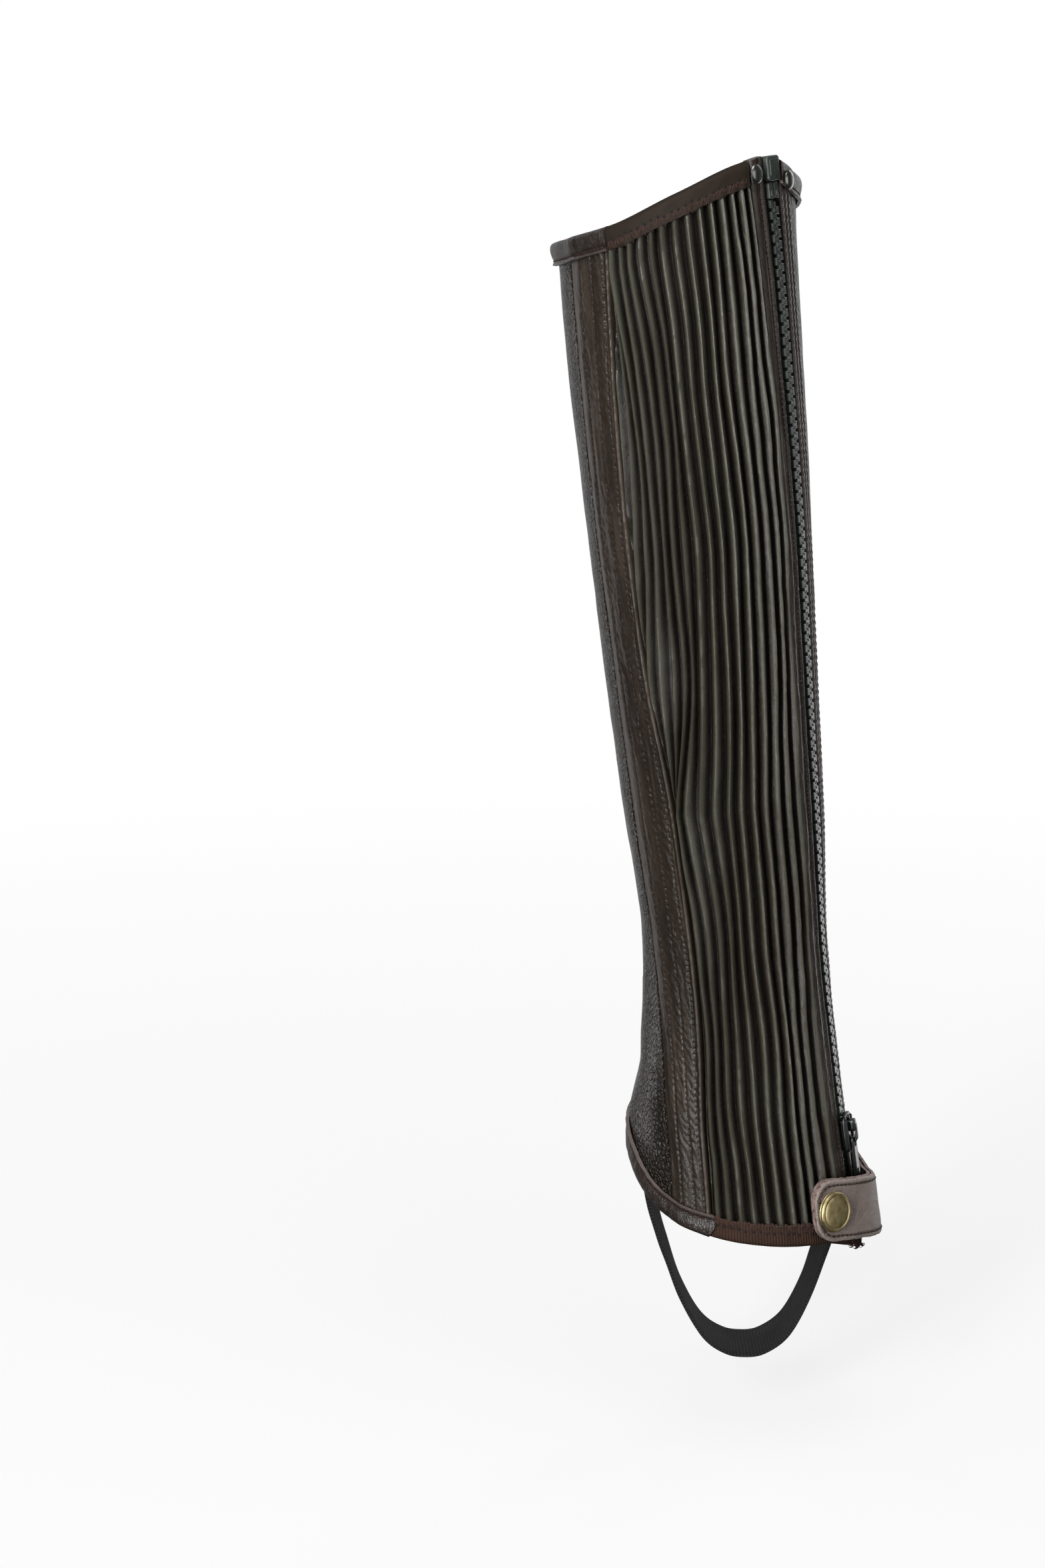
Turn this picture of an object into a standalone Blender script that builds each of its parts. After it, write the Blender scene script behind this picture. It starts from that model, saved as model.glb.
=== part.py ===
"""Worn half chap for the right leg: a leather gaiter that closes with a zip on its outer side.

The origin is on the leg's axis at the calf, where the leg holds the chap. +Y is forward, towards the
toes, +X is the outer side of the leg and +Z is up. Angles run round the leg in degrees from the back,
positive towards the outer side. Every size and place here is in millimetres, and becomes metres when
a mesh is made. "Out" is the distance outside the leather's outer face, negative inside the wall.
"""
import math

import bmesh
import bpy
import numpy as np
from mathutils import Matrix

MM = 0.001

# Walls and gaps
LEATHER = 1.6
GAP = 0.3
SEAM = 0.35

# The leg form: outer face of the leather at each height
SECTIONS = (
    # height, lean, half_width, front, back
    (-282, 20.9, 45.6, 75, 46.5),
    (-265, 19.9, 44.2, 70, 45.3),
    (-245, 18.7, 42.5, 65, 44),
    (-228, 17.7, 41.2, 59, 43),
    (-200, 17.2, 38.0, 53, 42),
    (-160, 15.1, 35.8, 50, 43),
    (-106, 10.1, 38.6, 52, 48),
    (-54, 4.8, 40.9, 55, 54),
    (0, 0.0, 42.8, 58, 58),
    (49, -4.7, 44.3, 60, 59),
    (99, -9.0, 44.9, 61, 57),
    (140, -12.0, 45.6, 61, 55),
)

# Finished top edge round the leg
RIM = (
    # angle, height
    (-180, 116),
    (-135, 110),
    (-90, 108),
    (-56, 111),
    (-32, 115.5),
    (-3, 126),
    (28, 136.5),
    (47, 139.5),
    (66, 135),
    (90, 131),
    (135, 122),
)

# Finished lower edge round the leg
HEM = (
    # angle, height
    (-180, -246),
    (-140, -242),
    (-110, -242),
    (-90, -246),
    (-75, -251.5),
    (-49, -262.5),
    (-20, -268.5),
    (10, -272),
    (45, -275),
    (62, -277.5),
    (78, -280),
    (95, -279),
    (115, -271.5),
    (140, -258),
)

# Where the upright seams and the zip's centre line run
SEAMS = (
    # height, grain_seam, band_edge, zip_line
    (-282, -39.5, -18.0, 74.5),
    (-228, -45.0, -21.5, 71.5),
    (-190, -55.0, -25.5, 70.0),
    (-150, -64.0, -29.5, 67.0),
    (-100, -64.0, -31.5, 61.5),
    (-50, -64.0, -38.0, 59.0),
    (0, -66.5, -40.5, 57.0),
    (50, -65.0, -38.8, 54.0),
    (100, -63.5, -36.3, 51.0),
    (135, -62.0, -34.0, 47.0),
    (145, -61.5, -33.5, 46.0),
)

# Widths of the pleats, from the placket to the band; they are scaled to fill the panel
PLEAT_HEIGHTS = (110, 50, 0, -50, -100, -150, -190, -240)
PLEAT_WIDTHS = (
    # rim, upper_calf, calf, lower_calf, shin, ankle, low_ankle, hem
    (3.5, 3.5, 4.0, 4.5, 5.0, 5.5, 6.0, 6.5),
    (4.5, 4.5, 4.0, 4.0, 5.5, 5.0, 5.5, 6.0),
    (4.0, 5.0, 5.0, 5.0, 5.5, 6.0, 5.0, 5.0),
    (5.0, 5.5, 5.0, 5.0, 5.0, 5.0, 4.0, 4.5),
    (4.5, 4.5, 4.0, 5.0, 5.0, 5.0, 5.0, 4.5),
    (4.5, 4.0, 5.0, 4.5, 5.0, 5.0, 5.5, 4.5),
    (5.0, 5.0, 4.5, 4.5, 4.5, 4.0, 5.0, 4.5),
    (5.0, 4.5, 4.0, 5.0, 6.0, 4.0, 5.0, 4.5),
    (5.0, 4.5, 5.0, 5.0, 5.5, 4.5, 4.5, 4.0),
    (4.0, 2.5, 4.5, 3.0, 6.0, 5.0, 3.5, 4.0),
    (4.5, 4.0, 4.0, 3.5, 2.5, 4.5, 3.5, 3.5),
    (4.0, 4.0, 3.0, 4.5, 0.5, 0.5, 0.5, 0.5),
    (3.5, 4.0, 4.0, 6.0, 0.5, 0.5, 0.5, 0.5),
    (4.0, 3.0, 3.5, 4.0, 0.5, 0.5, 0.5, 0.5),
    (0.5, 3.0, 4.0, 0.5, 0.5, 0.5, 0.5, 0.5),
    (0.5, 5.0, 3.0, 0.5, 0.5, 0.5, 0.5, 0.5),
)
PLEAT_VALLEY_OUT = -0.6
PLEAT_RISE = 2.2
PLEAT_FULL_WIDTH = 3.5
PLEAT_SHOULDER = 0.3
PLEAT_FADE = 14.0
PLEAT_EDGE_SHARE = 0.35

# Soft folds of the worn leather, at the ankle and over the instep
FOLDS = (
    # angle, height, angle_spread, height_spread, push
    (-88, -231, 16, 7, 1.6),
    (-97, -212, 16, 9, -1.2),
    (-150, -168, 30, 10, -1.3),
    (180, -205, 45, 10, -2.0),
    (165, -184, 35, 8, -1.4),
    (118, -216, 18, 9, -1.2),
    (104, -186, 16, 9, -1.0),
    (150, -226, 22, 7, 1.5),
)

# Leather pieces
BAND_OUT = 0.8
BAND_RIB = 0.5
BAND_ROWS = (0.32, 0.62, 0.86)
BAND_GROOVE = 0.06
FRONT_FOLD_OUT = 0.7
FRONT_FOLD_WIDTH = 9.0
PLACKET_OUT = 0.6
PLACKET_WIDTH = 8.2
PLACKET_TAB_RISE = 2.0
PLACKET_TAB_HEIGHT = 13.0
PLACKET_BACK_GAP = 4.4
PLACKET_MARGIN = 2.0
FRONT_GAP = 5.4

# Bindings and elastics, folded over the edges
EDGE_GAP = 0.4
EDGE_SETBACK = 1.9
BINDING_HEIGHT = 8.8
BINDING_LEG = BINDING_HEIGHT - EDGE_SETBACK
BINDING = 1.4
ELASTIC = 1.0
EDGE_ROUNDING = 0.9
ELASTIC_STEPS = 16
MIDDLE_OF_PLEATS = 0.0
ZIP_SIDE = 60.0

# Zip
TAPE = 0.9
TAPE_REACH = 9.0
TAPE_SHOULDER = 3.5
TAPE_PARTING = 0.15
TAPE_TOP = 139.0
TAPE_FOOT_GAP = 1.0
TAPE_CLEAR_OF_FOOT = 2.0
TAPE_CLEAR_OF_TOP = 3.5
TAPE_ROWS = 22
CHAIN_HALF_WIDTH = 3.5
CHAIN_OUT = 1.2
CHAIN_TOP = 123.7
BOX_SIZE = (8.0, 9.0)
BOX_OUT = 2.4
BOX_CENTRE = 135.0
BOX_RADIUS = 1.3
BOX_BEVEL = 0.5
PIN_SIZE = (2.9, 6.0)
PIN_OUT = 1.4
PIN_CENTRE = 127.2
PIN_SPACING = 3.4
PIN_RADIUS = 0.5
PIN_BEVEL = 0.3

# Slider, in its own frame: X towards the shin, Y up the zip, Z outward from the leather
SLIDER_HEIGHT = -236.0
SLIDER_PLATE = (11.0, 14.7)
PLATE_RADIUS = 2.2
PLATE_BEVEL = 0.3
PLATE_THICKNESS = 1.5
INNER_PLATE_THICKNESS = 1.4
OUTER_PLATE_LOW = 1.6
INNER_PLATE_LOW = -5.1
NECK_WIDTH = 2.4
NECK_SPAN = (-7.0, -4.6)
CHAIN_FOOT = -4.2
LIP_SPAN = (4.0, 5.0)
LIP_LENGTH = 11.0
LIP_LOW = 1.0
SUNK = 0.5
BRIDGE_WIDTH = 2.2
BRIDGE_SPAN = (-5.0, 5.5)
TUNNEL_SPAN = (-3.5, 4.0)
TUNNEL_TOP = 5.3
BRIDGE_TOP = 6.4
BRIDGE_CORNER = 1.4
NECK_TAPE_GAP = 1.7
NECK_TAPER = 4.0

# Pull tab, in its own frame, whose origin is on the hinge axis
HINGE_Y = -2.5
HINGE_Z = 4.2
TAB_THICKNESS = 1.4
TAB_WIDTH = 6.0
TAB_LENGTH = 23.5
TAB_SLOT_WIDTH = 2.9
TAB_SLOT = (-3.4, -0.75)
TAB_HEAD = 0.75
TAB_RADIUS = 1.4

# Strap over the foot of the zip: height of its middle and clearance of its inner face
STRAP = (
    # angle, height, lift
    (30, -259.0, 3.0),
    (40, -259.5, 3.9),
    (55, -261.5, 5.8),
    (72, -264.0, 7.8),
    (88, -266.0, 5.6),
    (102, -264.5, 3.2),
    (110, -262.0, 2.3),
    (118, -259.0, 2.2),
)
STRAP_HALF_HEIGHT = 12.0
STRAP_END_RADIUS = 8.5
STRAP_LAYER = 1.5
STRAP_END_STEPS = (0.0, 0.08, 0.25, 0.55)
STRAP_COLUMNS = 15
STRAP_ROWS = 7

# Press stud and rivets
SNAP_ANGLE = 39.5
SNAP_BASE_OUT = -0.65
SNAP_CAP = (
    # radius, level
    (0, 0.0),
    (7.25, 0.0),
    (7.75, 0.5),
    (7.75, 1.3),
    (7.15, 1.9),
    (6.35, 1.7),
    (5.55, 1.9),
    (3.9, 2.3),
    (0, 2.4),
)
SNAP_BASE = (
    # radius, level
    (0, -1.4),
    (5.2, -1.4),
    (5.5, -1.1),
    (5.5, -0.3),
    (5.2, 0.0),
    (0, 0.0),
)
RIVET = (
    # radius, level
    (0, 0.0),
    (3.3, 0.0),
    (3.5, 0.4),
    (3.0, 0.95),
    (1.75, 1.45),
    (0, 1.6),
)
REAR_RIVET = (36.0, 133.0)
FRONT_RIVET = (58.0, 131.0)

# Stirrup: elastic loop that passes under the foot
STIRRUP = (
    # across, height
    (-18.4, -236),
    (-18.8, -247),
    (-18.6, -262),
    (-14.8, -279),
    (-9.5, -294),
    (-3.5, -310),
    (5.0, -325),
    (14.0, -332),
    (22.0, -333.5),
    (30.0, -332),
    (39.0, -325),
    (46.5, -311),
    (52.0, -296),
    (56.4, -282),
    (58.4, -267),
    (58.2, -252),
)
STIRRUP_THICKNESS = 1.6
STIRRUP_WIDTH = 28.0
STIRRUP_CENTRE = 12.0
STIRRUP_INSIDE = 5.0
STIRRUP_FLAT_BELOW = -320.0
STIRRUP_CURVED_ABOVE = -262.0

# Grid sizes
ROWS = 18
ROW_CROWDING = 1.4
FRONT_COLUMNS = 24
FRONT_CROWDING = 1.15
BAND_COLUMNS = 8
PLACKET_COLUMNS = 3
GRID_PASSES = 12
FIRST_HEIGHTS = (-260, 120)
NUDGE = 0.5


def column(table, index):
    """One named column of a table."""
    return np.array([row[index] for row in table], float)


def smooth(places, values, place):
    """Cubic curve through the points, read at a place, level beyond the ends."""
    slopes = np.gradient(values, places)
    place = np.clip(place, places[0], places[-1])
    index = np.clip(np.searchsorted(places, place) - 1, 0, len(places) - 2)
    span = places[index + 1] - places[index]
    t = (place - places[index]) / span
    start = (1 + 2 * t) * (1 - t) ** 2 * values[index] + t * (1 - t) ** 2 * span * slopes[index]
    end = t * t * (3 - 2 * t) * values[index + 1] + t * t * (t - 1) * span * slopes[index + 1]
    return start + end


def around(table, angle):
    """Height from a table that closes on itself round the leg."""
    angles = column(table, 0)
    heights = column(table, 1)
    angles = np.concatenate([angles - 360, angles, angles + 360])
    heights = np.concatenate([heights, heights, heights])
    return smooth(angles, heights, angle)


def ease(value, low, high):
    """Soft step from 0 at low to 1 at high."""
    t = np.clip((value - low) / (high - low), 0, 1)
    return t * t * (3 - 2 * t)


def section(height):
    """Lean, half width, front depth and back depth of the form at a height."""
    heights = column(SECTIONS, 0)
    return [smooth(heights, column(SECTIONS, index), height) for index in range(1, 5)]


def folds(angle, height):
    """Push of the soft folds at a place on the leather."""
    push = 0
    for fold_angle, fold_height, angle_spread, height_spread, depth in FOLDS:
        turn = (angle - fold_angle + 180) % 360 - 180
        away = (turn / angle_spread) ** 2 + ((height - fold_height) / height_spread) ** 2
        push = push + depth * np.exp(-away)
    return push


def surface(angle, height, out=0.0):
    """Point outside the leather's outer face by a distance, in millimetres."""
    lean, half_width, front, back = section(height)
    turn = np.radians(angle)
    depth = np.where(np.cos(turn) > 0, back, front)
    away = out + folds(angle, height)
    across = lean + (half_width + away) * np.sin(turn)
    forward = -(depth + away) * np.cos(turn)
    return np.stack([across, forward, height + 0 * across], -1)


def degrees_for(angle, height, distance):
    """Angle that a distance along the leather turns through at a place."""
    lean, half_width, front, back = section(height)
    turn = np.radians(angle)
    depth = np.where(np.cos(turn) > 0, back, front)
    return np.degrees(distance / np.hypot(half_width * np.cos(turn), depth * np.sin(turn)))


def seam(index, height):
    """Angle of one of the upright seams at a height."""
    heights = column(SEAMS, 0)
    return smooth(heights, column(SEAMS, index), height)


def beside(line, distance):
    """Seam that runs a distance beside another one, positive towards the shin."""
    return lambda height: line(height) + degrees_for(line(height), height, distance)


def grain_seam(height):
    return seam(1, height)


def band_edge(height):
    return seam(2, height)


def zip_line(height):
    return seam(3, height)


def rim(angle):
    return around(RIM, angle)


def hem(angle):
    return around(HEM, angle)


def wall_top(angle):
    return rim(angle) - EDGE_SETBACK


def wall_foot(angle):
    return hem(angle) + EDGE_SETBACK


placket_edge = beside(zip_line, -PLACKET_BACK_GAP)
placket_seam = beside(zip_line, -PLACKET_BACK_GAP - PLACKET_WIDTH)
front_edge = beside(zip_line, FRONT_GAP)


def round_the_front(height):
    """The grain seam's angle, counted on past the shin."""
    return grain_seam(height) + 360


def row_heights(foot, top, rows):
    """Heights of a grid's rows; the first and last rows are as tall as a binding's leg."""
    up = (np.linspace(0, 1, rows - 1) ** ROW_CROWDING)[:, None]
    low = foot[1:-1] + BINDING_LEG
    high = top[1:-1] - BINDING_LEG
    return np.concatenate([foot[:1], low + (high - low) * up, top[-1:]])


def grid_of(left, right, foot, top, across, rows=ROWS):
    """Angles and heights of a grid that fills the leather between two seams and two edges."""
    share = np.asarray(across)[None, :]
    height = np.linspace(*FIRST_HEIGHTS, rows + 1)[:, None] + 0 * share
    for _ in range(GRID_PASSES):
        angle = left(height) * (1 - share) + right(height) * share
        height = row_heights(foot(angle), top(angle), rows)
    return angle, height


def material(name, colour, roughness, metallic=0.0):
    """A Principled material, made once."""
    found = bpy.data.materials.get(name)
    if found:
        return found
    made = bpy.data.materials.new(name)
    made.use_nodes = True
    shader = made.node_tree.nodes["Principled BSDF"]
    shader.inputs["Base Color"].default_value = (*colour, 1.0)
    shader.inputs["Roughness"].default_value = roughness
    shader.inputs["Metallic"].default_value = metallic
    return made


def grained_leather():
    return material("grained_leather", (0.033, 0.022, 0.019), 0.45)


def smooth_leather():
    return material("smooth_leather", (0.040, 0.026, 0.020), 0.5)


def pleat_leather():
    return material("pleat_leather", (0.036, 0.029, 0.025), 0.42)


def brown_elastic():
    return material("brown_elastic", (0.040, 0.020, 0.016), 0.85)


def dark_elastic():
    return material("dark_elastic", (0.020, 0.018, 0.018), 0.85)


def black_tape():
    return material("black_tape", (0.010, 0.010, 0.010), 0.8)


def zip_plastic():
    return material("zip_plastic", (0.030, 0.036, 0.034), 0.4)


def black_metal():
    return material("black_metal", (0.010, 0.012, 0.012), 0.18, 0.3)


def antique_brass():
    return material("antique_brass", (0.26, 0.20, 0.09), 0.35, 1.0)


def gunmetal():
    return material("gunmetal", (0.12, 0.12, 0.12), 0.3, 1.0)


def place(name, mesh, finish, frame=None):
    """An object from a mesh in millimetres, at a frame in the part."""
    mesh.transform(Matrix.Scale(MM, 4))
    mesh.shade_smooth()
    mesh.set_sharp_from_angle(angle=math.radians(35))
    mesh.materials.append(finish)
    thing = bpy.data.objects.new(name, mesh)
    bpy.context.scene.collection.objects.link(thing)
    if frame is not None:
        thing.location = frame.translation * MM
        thing.rotation_mode = "QUATERNION"
        thing.rotation_quaternion = frame.to_quaternion()
    return thing


def mesh_from(name, bm):
    """Mesh of a closed bmesh, its faces turned outward."""
    bmesh.ops.recalc_face_normals(bm, faces=bm.faces)
    mesh = bpy.data.meshes.new(name)
    bm.to_mesh(mesh)
    bm.free()
    return mesh


def wall(name, outer, inner, finish):
    """Closed wall between two grids of points of the same size."""
    rows, columns = outer.shape[:2]
    bm = bmesh.new()
    skins = []
    for skin in (outer, inner):
        skins.append([[bm.verts.new(point) for point in row] for row in skin])
    for skin in skins:
        for row in range(rows - 1):
            for col in range(columns - 1):
                low = (skin[row][col], skin[row][col + 1])
                high = (skin[row + 1][col + 1], skin[row + 1][col])
                bm.faces.new(low + high)
    border = [(0, col) for col in range(columns)]
    border += [(row, columns - 1) for row in range(1, rows)]
    border += [(rows - 1, col) for col in range(columns - 2, -1, -1)]
    border += [(row, 0) for row in range(rows - 2, 0, -1)]
    for here, after in zip(border, border[1:] + border[:1]):
        face = (skins[0][here[0]][here[1]], skins[0][after[0]][after[1]],
                skins[1][after[0]][after[1]], skins[1][here[0]][here[1]])
        bm.faces.new(face)
    return place(name, mesh_from(name, bm), finish)


def front_out(angle, height):
    """Outer face of the front panel: thicker where its edge is folded along the zip."""
    distance = (angle - front_edge(height)) / degrees_for(angle, height, 1.0)
    return FRONT_FOLD_OUT * (1 - ease(distance, FRONT_FOLD_WIDTH - 1.5, FRONT_FOLD_WIDTH + 1.5))


def band_out(share):
    """Outer face of the band: soft ribs between its rows of stitching."""
    out = BAND_OUT + BAND_RIB
    for row in BAND_ROWS:
        out = out - BAND_RIB * np.exp(-((share - row) / BAND_GROOVE) ** 2)
    return out


def placket_out(share, angle, height):
    """Outer face of the placket: its top end is doubled and stands up at the pleats' side."""
    raised = ease(height, rim(angle) - PLACKET_TAB_HEIGHT, rim(angle) - 0.4 * PLACKET_TAB_HEIGHT)
    return PLACKET_OUT + PLACKET_TAB_RISE * (1 - share) * raised


def build_front_panel():
    """Grained leather from the zip round the shin to the medial seam."""
    angle, height = front_grid()
    outer = surface(angle, height, front_out(angle, height))
    inner = surface(angle, height, -LEATHER)
    wall("front_panel", outer, inner, grained_leather())


def build_side_band():
    """Smooth strip between the grained leather and the pleats."""
    angle, height = band_grid()
    share = np.linspace(0, 1, BAND_COLUMNS + 1)[None, :] + 0 * angle
    outer = surface(angle, height, band_out(share))
    inner = surface(angle, height, -LEATHER)
    wall("side_band", outer, inner, smooth_leather())


def build_rear_placket():
    """Smooth strip folded along the rear edge of the zip."""
    across = np.linspace(0, 1, PLACKET_COLUMNS + 1)
    angle, height = grid_of(beside(placket_seam, SEAM / 2), placket_edge, wall_foot, rim, across)
    outer = surface(angle, height, placket_out(across[None, :], angle, height))
    inner = surface(angle, height, -LEATHER)
    wall("rear_placket", outer, inner, smooth_leather())


def pleat_widths(height):
    """Width of each pleat at a height, from the placket to the band, as shares of the panel."""
    heights = np.array(PLEAT_HEIGHTS[::-1], float)
    table = np.array(PLEAT_WIDTHS, float)[:, ::-1]
    widths = np.stack([smooth(heights, row, height) for row in table], -1)
    return np.maximum(widths, 0.4)


def pleat_fade(angle, height):
    """Share of their full rise that the pleats keep near the elastics."""
    to_edge = np.minimum(rim(angle) - height, height - hem(angle))
    return PLEAT_EDGE_SHARE + (1 - PLEAT_EDGE_SHARE) * ease(to_edge, 0.4 * PLEAT_FADE, 1.6 * PLEAT_FADE)


def build_pleat_panel():
    """Soft leather gathered into upright pleats, raised over a plain inside."""
    profile = ((0.0, 0.0), (PLEAT_SHOULDER, 1.0), (1 - PLEAT_SHOULDER, 1.0))
    left = beside(band_edge, SEAM / 2)
    right = beside(placket_seam, -SEAM / 2)
    count = len(PLEAT_WIDTHS)
    columns = count * len(profile) + 1
    angle, height = grid_of(left, right, wall_foot, wall_top, np.linspace(0, 1, columns))
    rise = np.zeros_like(angle)
    for _ in range(4):
        widths = pleat_widths(height)
        whole = widths.sum(-1)
        share = np.zeros_like(angle)
        for col in range(columns):
            pleat, step = divmod(columns - 1 - col, len(profile))
            before = widths[:, col, :pleat].sum(-1)
            if pleat < count:
                width = widths[:, col, pleat]
                before = before + profile[step][0] * width
                rise[:, col] = profile[step][1] * np.minimum(1, width / PLEAT_FULL_WIDTH)
            share[:, col] = 1 - before / whole[:, col]
        share[:, 0] = 0
        angle = left(height) * (1 - share) + right(height) * share
        height = row_heights(wall_foot(angle), wall_top(angle), ROWS)
    out = PLEAT_VALLEY_OUT + PLEAT_RISE * rise * pleat_fade(angle, height)
    outer = surface(angle, height, out)
    inner = surface(angle, height, -LEATHER)
    wall("pleat_panel", outer, inner, pleat_leather())


def folded_edge(name, edge_angles, leg_angles, outs, edge, sign, thickness, finish):
    """Strip folded over an edge of the wall; sign is 1 over the rim and -1 under the hem."""
    inside = -LEATHER - EDGE_GAP
    outside = outs + EDGE_GAP
    middle = (inside + outside) / 2
    level = inside + 0 * outs
    outer_path = (
        (leg_angles, outside + thickness, BINDING_HEIGHT),
        (edge_angles, outside + thickness, EDGE_ROUNDING * thickness),
        (edge_angles, middle, 0.0),
        (edge_angles, level - thickness, EDGE_ROUNDING * thickness),
        (leg_angles, level - thickness, BINDING_HEIGHT),
    )
    inner_path = (
        (leg_angles, outside, BINDING_HEIGHT),
        (edge_angles, outside, EDGE_SETBACK),
        (edge_angles, middle, EDGE_SETBACK - GAP),
        (edge_angles, level, EDGE_SETBACK),
        (leg_angles, level, BINDING_HEIGHT),
    )
    skins = []
    for path in (outer_path, inner_path):
        lines = [surface(angles, edge(angles) - sign * setback, out) for angles, out, setback in path]
        skins.append(np.stack(lines, 1))
    wall(name, skins[0], skins[1], finish)


def front_grid():
    """Angles and heights of the front panel's grid, from the zip round to the medial seam."""
    across = np.linspace(0, 1, FRONT_COLUMNS + 1) ** FRONT_CROWDING
    return grid_of(front_edge, beside(round_the_front, -SEAM / 2), wall_foot, wall_top, across)


def band_grid():
    """Angles and heights of the band's grid, from the grain seam to the pleats."""
    across = np.linspace(0, 1, BAND_COLUMNS + 1)
    left = beside(grain_seam, SEAM / 2)
    right = beside(band_edge, -SEAM / 2)
    return grid_of(left, right, wall_foot, wall_top, across)


def build_bindings():
    """Leather strips folded over the rim and the hem, on the grids of the pieces that they cover."""
    front, heights = front_grid()
    band = band_grid()[0] + 360
    front_outs = front_out(front, heights)
    bindings = (
        # name, edge, sign, row of the edge, row of the leg
        ("top_binding", rim, 1, -1, -2),
        ("hem_binding", hem, -1, 0, 1),
    )
    for name, edge, sign, row, leg_row in bindings:
        edge_angles = np.concatenate([front[row, :-1], band[row, ::2]])
        leg_angles = np.concatenate([front[leg_row, :-1], band[leg_row, ::2]])
        on_band = np.full(len(band[row, ::2]), BAND_OUT + BAND_RIB)
        outs = np.concatenate([front_outs[row, :-1], on_band])
        folded_edge(name, edge_angles, leg_angles, outs, edge, sign, BINDING, grained_leather())


def build_elastics():
    """Elastic tapes folded over the ends of the pleats."""
    on_pleats = PLEAT_VALLEY_OUT + PLEAT_RISE * PLEAT_EDGE_SHARE
    elastics = (
        # name, edge, sign, line where it ends
        ("top_elastic", rim, 1, placket_seam),
        ("hem_elastic", hem, -1, placket_edge),
    )
    for name, edge, sign, last in elastics:
        start = beside(band_edge, SEAM)(edge(MIDDLE_OF_PLEATS))
        end_level = edge(ZIP_SIDE)
        end = beside(last, -SEAM)(end_level)
        angles = np.linspace(start, end, ELASTIC_STEPS + 1)
        outs = np.where(angles > placket_seam(end_level) - PLACKET_MARGIN, PLACKET_OUT, on_pleats)
        folded_edge(name, angles, angles, outs, edge, sign, ELASTIC, brown_elastic())


def flat_spot(here, beside_it, above_it):
    """Frame at a point: Y towards the point above, Z out of the face, X towards the point beside."""
    up = above_it - here
    outward = np.cross(beside_it - here, up)
    outward /= np.linalg.norm(outward)
    up /= np.linalg.norm(up)
    side = np.cross(up, outward)
    rows = np.column_stack([side, up, outward, here])
    return Matrix([*rows, (0, 0, 0, 1)])


def frame_on(line, height, out=lambda angle, height: 0.0):
    """Flat spot on a face of the leather: X towards the shin, Y up the line, Z outward."""
    def point(angle, level):
        return surface(angle, level, out(angle, level))

    angle = line(height)
    above = height + NUDGE
    return flat_spot(point(angle, height), point(angle + NUDGE, height), point(line(above), above))


def slider_frame():
    """Flat spot where the slider sits."""
    return frame_on(zip_line, SLIDER_HEIGHT)


def build_zip_tapes():
    """Woven tapes under the edges of the leather; they part below the slider's neck."""
    neck = SLIDER_HEIGHT + CHAIN_FOOT

    def parting(height):
        return TAPE_PARTING + (NECK_TAPE_GAP - TAPE_PARTING) * (1 - ease(height, neck, neck + NECK_TAPER))

    foot = hem(zip_line(SLIDER_HEIGHT)) + TAPE_FOOT_GAP
    narrow_foot = foot + BINDING_HEIGHT + TAPE_CLEAR_OF_FOOT
    narrow_top = TAPE_TOP - BINDING_HEIGHT - TAPE_CLEAR_OF_TOP
    low_turns = (foot, narrow_foot, narrow_foot + TAPE_SHOULDER, neck, neck + NECK_TAPER)
    even = np.linspace(neck + 3 * NECK_TAPER, narrow_top - TAPE_SHOULDER, TAPE_ROWS)
    levels = np.sort(np.concatenate([low_turns, even, (narrow_top, TAPE_TOP)]))[:, None]

    def reach(height, free):
        """Full reach under the leather, less between the bindings at both ends."""
        inner = ease(height, narrow_foot, narrow_foot + TAPE_SHOULDER)
        inner = inner * (1 - ease(height, narrow_top - TAPE_SHOULDER, narrow_top))
        return free + (TAPE_REACH - free) * inner

    tapes = (
        # name, sign, reach between the bindings
        ("zip_tape_front", 1, FRONT_GAP - SEAM),
        ("zip_tape_rear", -1, PLACKET_BACK_GAP - SEAM),
    )
    for name, sign, free in tapes:
        middle = zip_line(levels)
        near = middle + degrees_for(middle, levels, sign * parting(levels))
        far = middle + degrees_for(middle, levels, sign * reach(levels, free))
        angle = np.concatenate([near, (near + far) / 2, far], 1)
        height = levels + 0 * angle
        outer = surface(angle, height, -LEATHER - GAP)
        inner = surface(angle, height, -LEATHER - GAP - TAPE)
        wall(name, outer, inner, black_tape())


def build_zip_chain():
    """Band that the closed teeth fill, from the pins to the slider."""
    height = np.linspace(SLIDER_HEIGHT + CHAIN_FOOT, CHAIN_TOP, 2 * ROWS + 1)[:, None]
    across = CHAIN_HALF_WIDTH * np.array([[-1.0, 0.0, 1.0]])
    angle = beside(zip_line, across)(height)
    wall("zip_chain", surface(angle, height, CHAIN_OUT), surface(angle, height, -LEATHER), zip_plastic())


def rounded_outline(width, height, radius, steps=3, centre=(0.0, 0.0)):
    """Rectangle with round corners."""
    points = []
    for corner, (sign_x, sign_y) in enumerate(((1, 1), (-1, 1), (-1, -1), (1, -1))):
        middle_x = centre[0] + sign_x * (width / 2 - radius)
        middle_y = centre[1] + sign_y * (height / 2 - radius)
        for step in range(steps + 1):
            turn = math.radians(90 * corner + 90 * step / steps)
            points.append((middle_x + radius * math.cos(turn), middle_y + radius * math.sin(turn)))
    return points


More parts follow.
